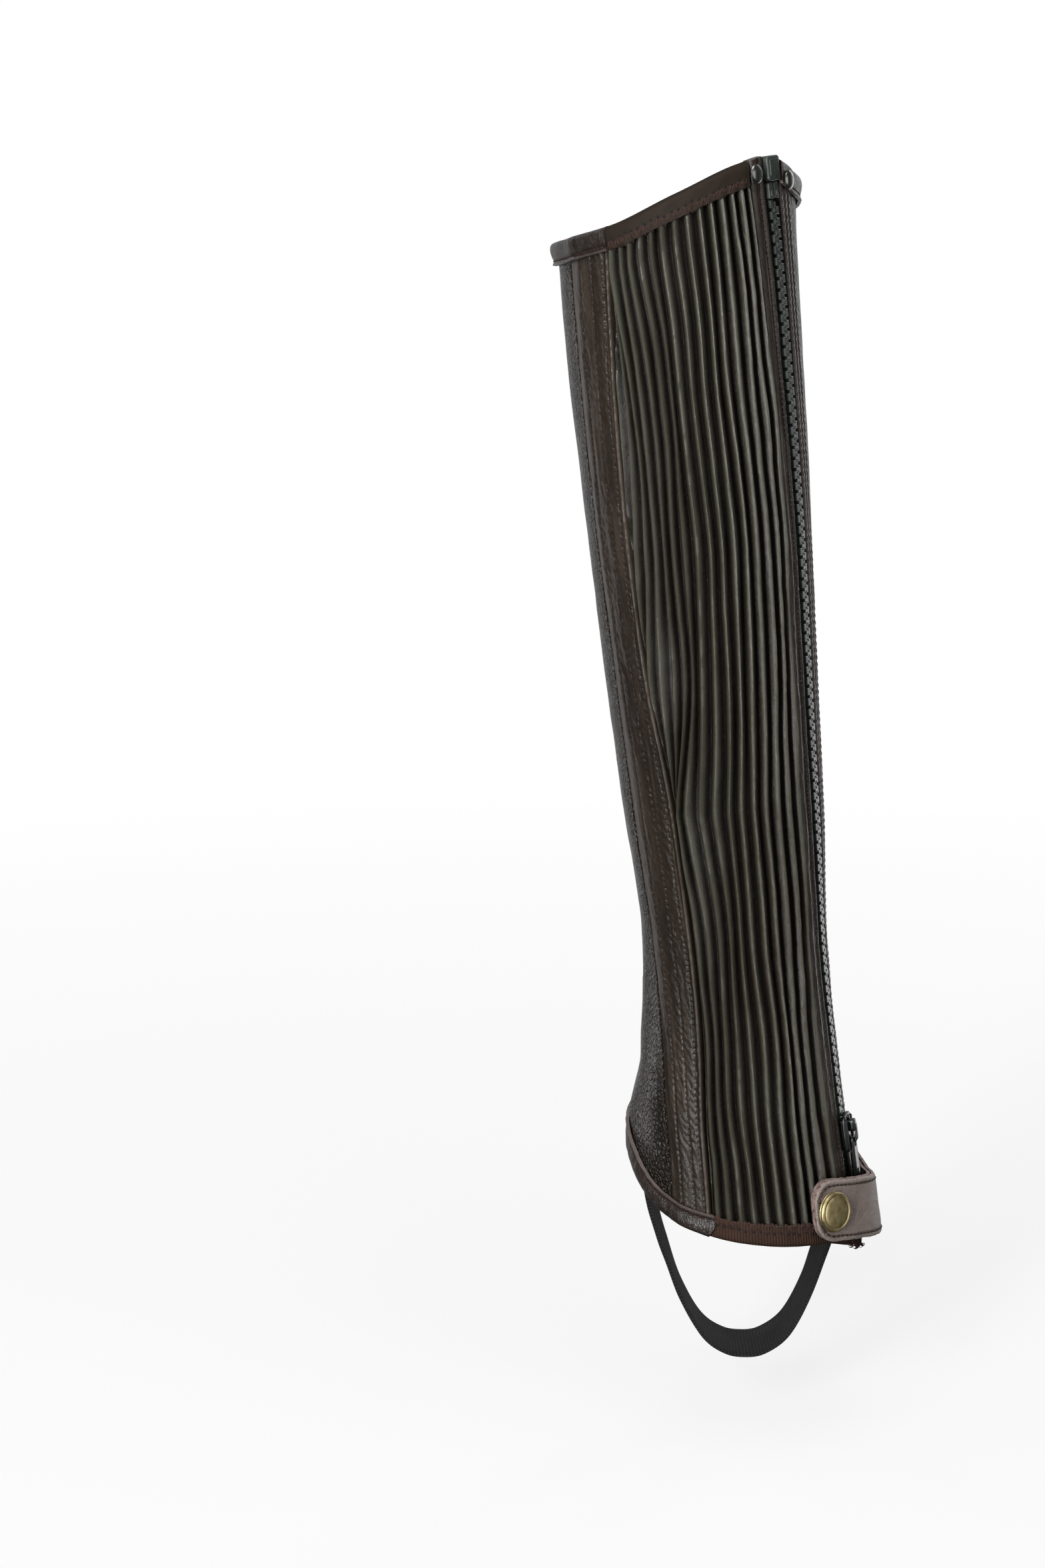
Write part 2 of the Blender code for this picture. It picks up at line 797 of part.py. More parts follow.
def slab(outline, low, high, bevel=0.0):
    """Closed slab of an outline between two levels, its edges softened."""
    bm = bmesh.new()
    base = bm.faces.new([bm.verts.new((x, y, low)) for x, y in outline])
    top = bmesh.ops.extrude_face_region(bm, geom=[base])["geom"]
    for vert in top:
        if isinstance(vert, bmesh.types.BMVert):
            vert.co.z = high
    if bevel:
        rims = [edge for edge in bm.edges if abs(edge.verts[0].co.z - edge.verts[1].co.z) < 1e-6]
        bmesh.ops.bevel(bm, geom=rims, offset=bevel, segments=1, affect="EDGES", clamp_overlap=True)
    return mesh_from("slab", bm)


def turned(profile, steps=24):
    """Round solid about Z from (radius, level) points that start and end on the axis."""
    bm = bmesh.new()
    rings = []
    for radius, level in profile:
        if radius == 0:
            rings.append([bm.verts.new((0, 0, level))] * steps)
        else:
            turns = [2 * math.pi * step / steps for step in range(steps)]
            rings.append([bm.verts.new((radius * math.cos(t), radius * math.sin(t), level)) for t in turns])
    for low, high in zip(rings, rings[1:]):
        for step in range(steps):
            after = (step + 1) % steps
            corners = [low[step], low[after], high[after], high[step]]
            unique = [vert for index, vert in enumerate(corners) if vert not in corners[:index]]
            bm.faces.new(unique)
    return mesh_from("turned", bm)


def guide(thing, name, mesh, operation):
    """Adds or cuts a shape on an object, with a hidden guide."""
    tool = bpy.data.objects.new(name, mesh)
    mesh.transform(Matrix.Scale(MM, 4))
    bpy.context.scene.collection.objects.link(tool)
    tool.location = thing.location
    tool.rotation_mode = "QUATERNION"
    tool.rotation_quaternion = thing.rotation_quaternion
    tool.hide_render = True
    tool.display_type = "WIRE"
    modifier = thing.modifiers.new(name, "BOOLEAN")
    modifier.operation = operation
    modifier.object = tool


def build_zip_top():
    """Box and pins where the zip starts."""
    box = slab(rounded_outline(*BOX_SIZE, BOX_RADIUS), -LEATHER, BOX_OUT, BOX_BEVEL)
    place("zip_box", box, zip_plastic(), frame_on(zip_line, BOX_CENTRE))
    for name, sign in (("zip_pin_front", 1), ("zip_pin_rear", -1)):
        outline = rounded_outline(*PIN_SIZE, PIN_RADIUS, centre=(sign * PIN_SPACING / 2, 0.0))
        pin = slab(outline, -LEATHER, PIN_OUT, PIN_BEVEL)
        place(name, pin, zip_plastic(), frame_on(zip_line, PIN_CENTRE))


def build_slider():
    """Two plates held together by a neck, with lips beside the chain and a bridge for the tab."""
    plate = rounded_outline(*SLIDER_PLATE, PLATE_RADIUS)
    outer_plate = slab(plate, OUTER_PLATE_LOW, OUTER_PLATE_LOW + PLATE_THICKNESS, PLATE_BEVEL)
    slider = place("zip_slider", outer_plate, black_metal(), slider_frame())
    inner_plate = slab(plate, INNER_PLATE_LOW, INNER_PLATE_LOW + INNER_PLATE_THICKNESS, PLATE_BEVEL)
    guide(slider, "inner_plate_guide", inner_plate, "UNION")
    neck_low, neck_high = NECK_SPAN
    neck = rounded_outline(NECK_WIDTH, neck_high - neck_low, 0.6, 2, (0.0, (neck_low + neck_high) / 2))
    guide(slider, "neck_guide", slab(neck, INNER_PLATE_LOW + SUNK, OUTER_PLATE_LOW + SUNK), "UNION")
    lip_near, lip_far = LIP_SPAN
    for name, sign in (("front_lip_guide", 1), ("rear_lip_guide", -1)):
        middle = (sign * (lip_near + lip_far) / 2, 0.5)
        outline = rounded_outline(lip_far - lip_near, LIP_LENGTH, 0.3, 1, middle)
        guide(slider, name, slab(outline, LIP_LOW, OUTER_PLATE_LOW + SUNK), "UNION")
    foot = OUTER_PLATE_LOW + PLATE_THICKNESS - SUNK
    low, high = BRIDGE_SPAN
    tunnel_low, tunnel_high = TUNNEL_SPAN
    arch = (
        (low, foot),
        (low, BRIDGE_TOP - BRIDGE_CORNER),
        (low + BRIDGE_CORNER, BRIDGE_TOP),
        (high - BRIDGE_CORNER, BRIDGE_TOP),
        (high, BRIDGE_TOP - BRIDGE_CORNER),
        (high, foot),
        (tunnel_high, foot),
        (tunnel_high, TUNNEL_TOP),
        (tunnel_low, TUNNEL_TOP),
        (tunnel_low, foot),
    )
    bridge = slab(arch, -BRIDGE_WIDTH / 2, BRIDGE_WIDTH / 2)
    bridge.transform(Matrix(((0, 0, 1, 0), (1, 0, 0, 0), (0, 1, 0, 0), (0, 0, 0, 1))))
    guide(slider, "bridge_guide", bridge, "UNION")


def build_pull_tab():
    """Tab that hangs from the slider's bridge; its origin is on the hinge."""
    frame = slider_frame() @ Matrix.Translation((0.0, HINGE_Y, HINGE_Z))
    middle = (0.0, (TAB_HEAD - TAB_LENGTH) / 2)
    outline = rounded_outline(TAB_WIDTH, TAB_LENGTH + TAB_HEAD, TAB_RADIUS, 3, middle)
    plate = slab(outline, -TAB_THICKNESS / 2, TAB_THICKNESS / 2, PLATE_BEVEL)
    tab = place("zip_pull_tab", plate, black_metal(), frame)
    low, high = TAB_SLOT
    slot = rounded_outline(TAB_SLOT_WIDTH, high - low, 0.4, 2, (0.0, (low + high) / 2))
    guide(tab, "tab_slot_guide", slab(slot, -TAB_THICKNESS, TAB_THICKNESS), "DIFFERENCE")


def strap_surface(angle, across, depth):
    """Point on the strap: along it by angle, across it in millimetres, outward from its inner face."""
    angles = column(STRAP, 0)
    middle = smooth(angles, column(STRAP, 1), angle)
    lift = smooth(angles, column(STRAP, 2), angle)
    return surface(angle, middle + across, lift + depth)


def build_strap():
    """Two leather layers that close over the foot of the zip, round at the free end."""
    every = np.linspace(STRAP[0][0], STRAP[-1][0], 200)
    steps = np.linalg.norm(np.diff(strap_surface(every, 0.0, 0.0), axis=0), axis=1)
    length = np.concatenate([[0.0], np.cumsum(steps)])
    straight = np.linspace(STRAP_END_RADIUS, length[-1], STRAP_COLUMNS)
    distance = np.concatenate([STRAP_END_RADIUS * np.array(STRAP_END_STEPS), straight])
    angles = np.interp(distance, length, every)
    inset = np.clip(STRAP_END_RADIUS - distance, 0, None)
    half = STRAP_HALF_HEIGHT - STRAP_END_RADIUS + np.sqrt(STRAP_END_RADIUS ** 2 - inset ** 2)
    across = np.linspace(-1, 1, STRAP_ROWS)[None, :] * half[:, None]
    angle = angles[:, None] + 0 * across
    for name, depth in (("hem_strap_backing", 0.0), ("hem_strap_outer", STRAP_LAYER + GAP)):
        outer = strap_surface(angle, across, depth + STRAP_LAYER)
        inner = strap_surface(angle, across, depth)
        wall(name, outer, inner, grained_leather())


def strap_frame(angle, depth):
    """Flat spot on the strap's face: X along it, Z outward."""
    here = strap_surface(angle, 0.0, depth)
    return flat_spot(here, strap_surface(angle + NUDGE, 0.0, depth), strap_surface(angle, NUDGE, depth))


def build_press_stud():
    """Cap on the strap and the base between the strap and the pleats."""
    over_strap = 2 * STRAP_LAYER + 2 * GAP
    place("snap_cap", turned(SNAP_CAP, 32), antique_brass(), strap_frame(SNAP_ANGLE, over_strap))
    place("snap_base", turned(SNAP_BASE, 20), antique_brass(), strap_frame(SNAP_ANGLE, SNAP_BASE_OUT))


def build_rivets():
    """Domed rivets on both sides of the zip box."""
    def on_placket(angle, height):
        low = placket_seam(height)
        share = (angle - low) / (placket_edge(height) - low)
        return placket_out(share, angle, height) + GAP

    def on_binding(angle, height):
        return FRONT_FOLD_OUT + GAP + BINDING + GAP

    rivets = (
        # name, angle and height, face that it sits on
        ("stud_rear", REAR_RIVET, on_placket),
        ("stud_front", FRONT_RIVET, on_binding),
    )
    for name, (angle, height), face in rivets:
        spot = frame_on(lambda level: angle, height, face)
        place(name, turned(RIVET, 20), gunmetal(), spot)


def build_stirrup():
    """Elastic loop from inside the hem on one side to the other, under the foot."""
    across = column(STIRRUP, 0)
    heights = column(STIRRUP, 1)
    step = np.arange(len(across), dtype=float)
    fine = np.linspace(0, len(across) - 1, 2 * len(across) - 1)
    x = smooth(step, across, fine)
    z = smooth(step, heights, fine)
    along = np.stack([np.gradient(x), np.gradient(z)], -1)
    along /= np.linalg.norm(along, axis=1)[:, None]
    normal = np.stack([along[:, 1], -along[:, 0]], -1)
    forward = STIRRUP_CENTRE + STIRRUP_WIDTH * np.linspace(-0.5, 0.5, 4)[None, :]
    skins = []
    for side in (0.5, -0.5):
        skin_x = (x + side * STIRRUP_THICKNESS * normal[:, 0])[:, None]
        skin_z = (z + side * STIRRUP_THICKNESS * normal[:, 1])[:, None]
        lean, half_width, front, back = section(skin_z)
        depth = np.where(forward < 0, back, front) - STIRRUP_INSIDE
        round_share = np.sqrt(1 - (forward / depth) ** 2)
        curved = ease(skin_z, STIRRUP_FLAT_BELOW, STIRRUP_CURVED_ABOVE)
        spread = 1 - curved * (1 - round_share)
        skin = (lean + (skin_x - lean) * spread, forward + 0 * skin_x, skin_z + 0 * forward)
        skins.append(np.stack(skin, -1))
    wall("stirrup", skins[0], skins[1], dark_elastic())


def main():
    """Clears the scene and builds the half chap."""
    for thing in list(bpy.data.objects):
        bpy.data.objects.remove(thing)
    build_front_panel()
    build_side_band()
    build_pleat_panel()
    build_rear_placket()
    build_bindings()
    build_elastics()
    build_zip_tapes()
    build_zip_chain()
    build_zip_top()
    build_slider()
    build_pull_tab()
    build_strap()
    build_press_stud()
    build_rivets()
    build_stirrup()


main()
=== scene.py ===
"""Looks of a worn half chap for the right leg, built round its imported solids.

Sizes and places are in millimetres in the solids' own frame, and become metres when a mesh is made.
The origin is on the leg's axis at the calf, +Y is forward, +X is the outer side of the leg and +Z is up.
Angles run round the leg in degrees from the back, positive towards the outer side. "Out" is the distance
outside the leather's outer face, negative inside the wall.
"""
import math

import bmesh
import bpy
import numpy as np
from mathutils import Matrix, Vector


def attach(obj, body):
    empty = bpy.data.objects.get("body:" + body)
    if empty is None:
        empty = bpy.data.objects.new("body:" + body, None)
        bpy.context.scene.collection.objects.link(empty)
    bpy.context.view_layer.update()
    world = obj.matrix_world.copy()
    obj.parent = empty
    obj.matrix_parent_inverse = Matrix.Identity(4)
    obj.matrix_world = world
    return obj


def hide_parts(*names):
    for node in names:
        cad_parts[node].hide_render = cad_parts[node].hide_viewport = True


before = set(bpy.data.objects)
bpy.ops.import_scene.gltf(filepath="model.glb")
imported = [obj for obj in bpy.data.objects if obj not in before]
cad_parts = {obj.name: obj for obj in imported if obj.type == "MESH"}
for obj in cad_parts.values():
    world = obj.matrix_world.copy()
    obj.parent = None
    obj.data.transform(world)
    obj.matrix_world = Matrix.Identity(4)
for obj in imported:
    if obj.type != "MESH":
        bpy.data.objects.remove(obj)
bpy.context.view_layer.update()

MM = 0.001

# The leg form: outer face of the leather at each height
SECTIONS = (
    # height, lean, half_width, front, back
    (-282, 20.9, 45.6, 75, 46.5),
    (-265, 19.9, 44.2, 70, 45.3),
    (-245, 18.7, 42.5, 65, 44),
    (-228, 17.7, 41.2, 59, 43),
    (-200, 17.2, 38.0, 53, 42),
    (-160, 15.1, 35.8, 50, 43),
    (-106, 10.1, 38.6, 52, 48),
    (-54, 4.8, 40.9, 55, 54),
    (0, 0.0, 42.8, 58, 58),
    (49, -4.7, 44.3, 60, 59),
    (99, -9.0, 44.9, 61, 57),
    (140, -12.0, 45.6, 61, 55),
)

# Finished top edge round the leg
RIM = (
    # angle, height
    (-180, 116),
    (-135, 110),
    (-90, 108),
    (-56, 111),
    (-32, 115.5),
    (-3, 126),
    (28, 136.5),
    (47, 139.5),
    (66, 135),
    (90, 131),
    (135, 122),
)

# Finished lower edge round the leg
HEM = (
    # angle, height
    (-180, -246),
    (-140, -242),
    (-110, -242),
    (-90, -246),
    (-75, -251.5),
    (-49, -262.5),
    (-20, -268.5),
    (10, -272),
    (45, -275),
    (62, -277.5),
    (78, -280),
    (95, -279),
    (115, -271.5),
    (140, -258),
)

# Where the upright seams and the zip's centre line run
SEAMS = (
    # height, grain_seam, band_edge, zip_line
    (-282, -39.5, -18.0, 74.5),
    (-228, -45.0, -21.5, 71.5),
    (-190, -55.0, -25.5, 70.0),
    (-150, -64.0, -29.5, 67.0),
    (-100, -64.0, -31.5, 61.5),
    (-50, -64.0, -38.0, 59.0),
    (0, -66.5, -40.5, 57.0),
    (50, -65.0, -38.8, 54.0),
    (100, -63.5, -36.3, 51.0),
    (135, -62.0, -34.0, 47.0),
    (145, -61.5, -33.5, 46.0),
)

# Widths of the pleats, from the placket to the band; they are scaled to fill the panel
PLEAT_HEIGHTS = (110, 50, 0, -50, -100, -150, -190, -240)
PLEAT_WIDTHS = (
    # rim, upper_calf, calf, lower_calf, shin, ankle, low_ankle, hem
    (3.5, 3.5, 4.0, 4.5, 5.0, 5.5, 6.0, 6.5),
    (4.5, 4.5, 4.0, 4.0, 5.5, 5.0, 5.5, 6.0),
    (4.0, 5.0, 5.0, 5.0, 5.5, 6.0, 5.0, 5.0),
    (5.0, 5.5, 5.0, 5.0, 5.0, 5.0, 4.0, 4.5),
    (4.5, 4.5, 4.0, 5.0, 5.0, 5.0, 5.0, 4.5),
    (4.5, 4.0, 5.0, 4.5, 5.0, 5.0, 5.5, 4.5),
    (5.0, 5.0, 4.5, 4.5, 4.5, 4.0, 5.0, 4.5),
    (5.0, 4.5, 4.0, 5.0, 6.0, 4.0, 5.0, 4.5),
    (5.0, 4.5, 5.0, 5.0, 5.5, 4.5, 4.5, 4.0),
    (4.0, 2.5, 4.5, 3.0, 6.0, 5.0, 3.5, 4.0),
    (4.5, 4.0, 4.0, 3.5, 2.5, 4.5, 3.5, 3.5),
    (4.0, 4.0, 3.0, 4.5, 0.5, 0.5, 0.5, 0.5),
    (3.5, 4.0, 4.0, 6.0, 0.5, 0.5, 0.5, 0.5),
    (4.0, 3.0, 3.5, 4.0, 0.5, 0.5, 0.5, 0.5),
    (0.5, 3.0, 4.0, 0.5, 0.5, 0.5, 0.5, 0.5),
    (0.5, 5.0, 3.0, 0.5, 0.5, 0.5, 0.5, 0.5),
)
PLEAT_STEPS = 14
PLEAT_ROWS = 400
PLEAT_VALLEY_OUT = -1.1
PLEAT_RISE = 3.3
PLEAT_FULL_WIDTH = 3.5
PLEAT_ROUNDNESS = 1.6
PLEAT_PINCHED = 1.2
PLEAT_SKEW = 1.55
PLEAT_FADE = 9.0
PLEAT_EDGE_SHARE = 0.6
PLEAT_UNEVEN = 0.16
# Pleat tone: valleys, and crests where pinched under the elastics, take painted shade; open crests are
# lighter for wear and a painted highlight
PLEAT_CREST_HIGHLIGHT_AND_WEAR = 1.15
PLEAT_PINCHED_SHADE = 0.45
PLEAT_CRUMPLE = (
    # height, length, width, seed
    (0.16, 7.0, 5.0, 33),
    (0.07, 2.4, 3.0, 34),
)

# Soft folds of the worn leather, at the ankle and over the instep
FOLDS = (
    # angle, height, angle_spread, height_spread, push
    (-88, -231, 16, 7, 1.6),
    (-97, -212, 16, 9, -1.2),
    (-150, -168, 30, 10, -1.3),
    (180, -205, 45, 10, -2.0),
    (165, -184, 35, 8, -1.4),
    (118, -216, 18, 9, -1.2),
    (104, -186, 16, 9, -1.0),
    (150, -226, 22, 7, 1.5),
)

# Leather pieces
LEATHER = 1.6
SEAM = 0.35
TUCK = 1.6
TUCK_GAP = 0.3
PLEATED_LEATHER = 1.0
EDGE_SETBACK = 1.9
EDGE_ROUND = 2.2
NUDGE = 0.5
BAND_OUT = 1.3
BAND_SEAM_OUT = 0.5
BAND_ROWS = (0.32, 0.62, 0.86)
FRONT_FOLD_OUT = 0.7
FRONT_FOLD_WIDTH = 9.0
FRONT_ROWS = (2.9, 6.2)
FRONT_STITCH = 2.7
BAND_STITCH = 2.3
PLACKET_OUT = 0.6
PLACKET_WIDTH = 8.2
PLACKET_TAB_RISE = 2.0
PLACKET_TAB_HEIGHT = 13.0
PLACKET_BACK_GAP = 4.4
PLACKET_ROW = 5.3
PLACKET_STITCH = 1.9
FRONT_GAP = 5.4

# Bindings and elastics, folded over the edges
EDGE_GAP = 0.4
BINDING_HEIGHT = 8.8
BINDING = 1.4
BINDING_ROW = 7.1
BINDING_STITCH = 1.75
ELASTIC = 1.0
ELASTIC_TUCK = 1.8
ZIGZAG = (5.6, 9.4)
ZIGZAG_PITCH = 2.6
ZIP_SIDE = 60.0

# Zip
TAPE = 0.9
TAPE_GAP = 0.3
TAPE_REACH = 10.4
TAPE_NARROW = 4.0
TAPE_NARROW_TOP = 13.0
TAPE_NARROW_FOOT = 12.0
TAPE_TOP = 139.0
TAPE_FOOT_RISE = 2.0
TAPE_PARTING = 0.3
TAPE_FOOT_PARTING = 1.6
CORD_RISE = 1.1
CORD_EDGE = (3.3, 4.2)
CHAIN_TOP = 123.7
SLIDER_HEIGHT = -236.0
BOX_CENTRE = 135.0
PIN_CENTRE = 127.2
TOOTH_HALF = (
    # across, along
    (2.75, 1.4),
    (1.0, 1.4),
    (0.9, 0.6),
    (0.1, 0.6),
    (0.0, 1.05),
    (-0.7, 1.15),
    (-1.0, 0.65),
)
TOOTH_PITCH = 4.1
TOOTH_FOOT = -2.6
TOOTH_BACK = -1.3
TOOTH_OUT = 1.2
TOOTH_BEVEL = 0.22

# Slabs with round corners, each in the frame of its piece; pins and side slabs are given for the front side
BOX_SLABS = (
    # width, height, radius, low, high, bevel, centre
    (8.0, 9.0, 1.3, -LEATHER, 2.4, 0.55, (0.0, 0.0)),
    (5.8, 6.4, 0.9, 2.0, 2.65, 0.25, (0.1, 0.2)),
)
PIN_SLABS = (
    (2.9, 6.0, 0.7, -LEATHER, 1.4, 0.3, (1.7, 0.0)),
    (1.0, 2.2, 0.45, 1.1, 1.6, 0.15, (1.7, -1.0)),
)
PLATE_TOP = 3.1
SLIDER_SLABS = (
    (11.0, 14.7, 2.2, 1.6, PLATE_TOP, 0.5, (0.0, 0.0)),
    (11.0, 14.7, 2.2, -5.1, -3.7, 0.5, (0.0, 0.0)),
    (2.4, 2.4, 0.6, -4.6, 2.1, 0.2, (0.0, -5.8)),
)
SLIDER_SIDE_SLABS = (
    (1.0, 11.0, 0.3, 1.0, 2.1, 0.15, (4.5, 0.5)),
    (1.5, 12.1, 0.74, 2.6, 3.85, 0.6, (4.4, 0.0)),
)
SLIDER_HOUSING = ((3.6, 4.9, 1.2, 2.7, 6.0, 0.6, (0.0, 2.9)),)
SLIDER_BEAD = (
    # radius, level
    (0.0, 2.8),
    (0.9, 2.8),
    (0.9, 3.55),
    (0.6, 3.85),
    (0.0, 3.9),
)
SLIDER_BEAD_CENTRE = (0.0, 6.2)
BRIDGE_WIDTH = 2.2
BRIDGE_SPAN = (-5.0, 5.5)
BRIDGE_TOP = 6.4
BRIDGE_BEVEL = 0.35
TUNNEL_TOP = 5.3

# Pull tab: a flat plate with an eye, its rims softened by an inset at each depth
HINGE_Y = -2.5
HINGE_Z = 4.2
TAB_THICKNESS = 1.4
TAB_WIDTH = 6.0
TAB_RADIUS = 1.4
TAB_LENGTH = 23.5
TAB_HEAD = 0.75
TAB_BEVEL = (
    # inset, depth
    (0.3, 0.0),
    (0.08, 0.12),
    (0.0, 0.3),
)
TAB_SLOT = (-3.4, -0.75)
TAB_SLOT_WIDTH = 2.9
TAB_EYE_RADIUS = 0.6
TAB_EYE_BEVEL = (
    # inset, depth
    (0.2, 0.0),
    (0.0, 0.25),
)
TAB_RAISED = ((2.6, 9.0, 1.2, 0.5, 1.05, 0.3, (0.0, -17.0)),)

# Strap over the foot of the zip: height of its middle and clearance of its inner face
STRAP = (
    # angle, height, lift
    (30, -259.0, 5.0),
    (40, -259.5, 4.5),
    (55, -261.5, 5.8),
    (72, -264.0, 7.8),
    (88, -266.0, 4.6),
    (102, -264.5, 3.2),
    (110, -262.0, 2.3),
    (118, -259.0, 2.2),
)
STRAP_HALF_HEIGHT = 12.0
STRAP_END_RADIUS = 8.5
STRAP_LAYER = 1.5
STRAP_GAP = 0.3
STRAP_ROW = 2.0
STRAP_STITCH = 2.1
STRAP_FIXED_ROW = 3.2
# Tone of the strap: lighter on its rounded cut edge for wear and a painted highlight, painted shade in its
# stitch groove
STRAP_PAINTED_LIGHT_AND_WEAR = (
    # height, centre, spread
    (0.5, 0.0, 0.8),
    (-0.35, STRAP_ROW, 0.45),
)
SNAP_ANGLE = 39.5
SNAP_ALONG = 9.0
SNAP_BASE_OUT = -0.65
SNAP_CAP = (
    # radius, level
    (0, 0.0),
    (7.25, 0.0),
    (7.75, 0.5),
    (7.75, 1.3),
    (7.15, 1.9),
    (6.35, 1.7),
    (5.55, 1.95),
    (3.9, 2.1),
    (0, 2.2),
)
SNAP_BASE = (
    # radius, level
    (0, -1.4),
    (5.2, -1.4),
    (5.5, -1.1),
    (5.5, -0.3),
    (5.2, 0.0),
    (0, 0.0),
)
RIVET = (
    # radius, level
    (0, 0.0),
    (3.3, 0.0),
    (3.5, 0.4),
    (3.0, 0.95),
    (1.75, 1.45),
    (0, 1.6),
)
REAR_RIVET = (36.0, 133.0)
FRONT_RIVET = (58.0, 131.0)
FRAYED_SPAN = (0.6, 13.0)
FRAYED_START = (40.0, 62.0)
FRAYED_FADE = (82.0, 100.0)
FRAYED_DROP = 1.9
FRAYED_THREADS = 80
FRAYED_RADIUS = 0.3

# Stirrup: elastic loop that passes under the foot
STIRRUP = (
    # across, height
    (-18.4, -236),
    (-18.8, -247),
    (-18.6, -262),
    (-14.8, -279),
    (-9.5, -294),
    (-3.5, -310),
    (5.0, -325),
    (14.0, -332),
    (22.0, -333.5),
    (30.0, -332),
    (39.0, -325),
    (46.5, -311),
    (52.0, -296),
    (56.4, -282),
    (58.4, -267),
    (58.2, -252),
)
STIRRUP_THICKNESS = 1.6
STIRRUP_WIDTH = 28.0
STIRRUP_CENTRE = 12.0
STIRRUP_INSIDE = 5.0
STIRRUP_FLAT_BELOW = -320.0
STIRRUP_CURVED_ABOVE = -262.0


def column(table, index):
    """One named column of a table."""
    return np.array([row[index] for row in table], float)


def smooth(places, values, place):
    """Cubic curve through the points, read at a place, level beyond the ends."""
    slopes = np.gradient(values, places)
    place = np.clip(place, places[0], places[-1])
    index = np.clip(np.searchsorted(places, place) - 1, 0, len(places) - 2)
    span = places[index + 1] - places[index]
    t = (place - places[index]) / span
    start = (1 + 2 * t) * (1 - t) ** 2 * values[index] + t * (1 - t) ** 2 * span * slopes[index]
    end = t * t * (3 - 2 * t) * values[index + 1] + t * t * (t - 1) * span * slopes[index + 1]
    return start + end


def around(table, angle):
    """Height from a table that closes on itself round the leg."""
    angles = column(table, 0)
    heights = column(table, 1)
    angles = np.concatenate([angles - 360, angles, angles + 360])
    heights = np.concatenate([heights, heights, heights])
    return smooth(angles, heights, angle)


def ease(value, low, high):
    """Soft step from 0 at low to 1 at high."""
    t = np.clip((value - low) / (high - low), 0, 1)
    return t * t * (3 - 2 * t)


def hump(value, centre, spread):
    """Soft bump of height 1."""
    return np.exp(-((value - centre) / spread) ** 2)


def humps(value, table):
    """Sum of bumps whose heights, centres and spreads are the rows of a table."""
    return sum(rise * hump(value, centre, spread) for rise, centre, spread in table)


WAVES_ALONG = 257
WAVES_ACROSS = 67
WAVES_START = 1000.0


def waviness(along, across, length, width, seed):
    """Smooth random relief from -1 to 1 whose cells have a length and a width."""
    chance = np.random.RandomState(seed).uniform(-1, 1, (WAVES_ALONG, WAVES_ACROSS))
    x = np.asarray(along, float) / length + WAVES_START
    y = np.asarray(across, float) / width + WAVES_START
    i = np.floor(x).astype(int)
    j = np.floor(y).astype(int)
    s = ease(x - i, 0, 1)
    t = ease(y - j, 0, 1)

    def corner(di, dj):
        return chance[(i + di) % WAVES_ALONG, (j + dj) % WAVES_ACROSS]

    low = corner(0, 0) * (1 - s) + corner(1, 0) * s
    high = corner(0, 1) * (1 - s) + corner(1, 1) * s
    return low * (1 - t) + high * t


def wrinkles(along, across, table):
    """Sum of random reliefs whose heights, lengths, widths and seeds are the rows of a table."""
    return sum(rise * waviness(along, across, length, width, seed) for rise, length, width, seed in table)


def section(height):
    """Lean, half width, front depth and back depth of the form at a height."""
    heights = column(SECTIONS, 0)
    return [smooth(heights, column(SECTIONS, index), height) for index in range(1, 5)]


def folds(angle, height):
    """Push of the soft folds at a place on the leather."""
    push = 0
    for fold_angle, fold_height, angle_spread, height_spread, depth in FOLDS:
        turn = (angle - fold_angle + 180) % 360 - 180
        away = (turn / angle_spread) ** 2 + ((height - fold_height) / height_spread) ** 2
        push = push + depth * np.exp(-away)
    return push


def surface(angle, height, out=0.0):
    """Point outside the leather's outer face by a distance."""
    lean, half_width, front, back = section(height)
    turn = np.radians(angle)
    depth = np.where(np.cos(turn) > 0, back, front)
    away = out + folds(angle, height)
    across = lean + (half_width + away) * np.sin(turn)
    forward = -(depth + away) * np.cos(turn)
    return np.stack([across, forward, height + 0 * across], -1)


def degrees_for(angle, height, distance):
    """Angle that a distance along the leather turns through at a place."""
    lean, half_width, front, back = section(height)
    turn = np.radians(angle)
    depth = np.where(np.cos(turn) > 0, back, front)
    return np.degrees(distance / np.hypot(half_width * np.cos(turn), depth * np.sin(turn)))


def seam(index, height):
    """Angle of one of the upright seams at a height."""
    heights = column(SEAMS, 0)
    return smooth(heights, column(SEAMS, index), height)


def beside(line, distance):
    """Seam that runs a distance beside another one, positive towards the shin."""
    return lambda height: line(height) + degrees_for(line(height), height, distance)


def grain_seam(height):
    return seam(1, height)


def round_the_front(height):
    """The grain seam's angle, counted on past the shin."""
    return grain_seam(height) + 360


def band_edge(height):
    return seam(2, height)


def zip_line(height):
    return seam(3, height)


def rim(angle):
    return around(RIM, angle)


def hem(angle):
    return around(HEM, angle)


def wall_top(angle):
    return rim(angle) - EDGE_SETBACK


def wall_foot(angle):
    return hem(angle) + EDGE_SETBACK


placket_edge = beside(zip_line, -PLACKET_BACK_GAP)
placket_seam = beside(zip_line, -PLACKET_BACK_GAP - PLACKET_WIDTH)
front_edge = beside(zip_line, FRONT_GAP)


def settle(left, right, foot, top, share, height):
    """Angles and heights of a grid from its shares of the way across and a first guess of its heights."""
    up = np.linspace(0, 1, len(height))[:, None]
    for _ in range(6):
        angle = left(height) * (1 - share) + right(height) * share
        height = foot(angle) * (1 - up) + top(angle) * up
    return angle, height


def grid_of(left, right, foot, top, across, rows):
    """Angles and heights of an even grid that fills the leather between two seams and two edges."""
    share = np.asarray(across)[None, :]
    first_guess = -260 + 380 * np.linspace(0, 1, rows + 1)[:, None] + 0 * share
    return settle(left, right, foot, top, share, first_guess)


def distance_from(line, angle, height):
    """Distance along the leather from a seam."""
    return (angle - line(height)) / degrees_for(angle, height, 1.0)


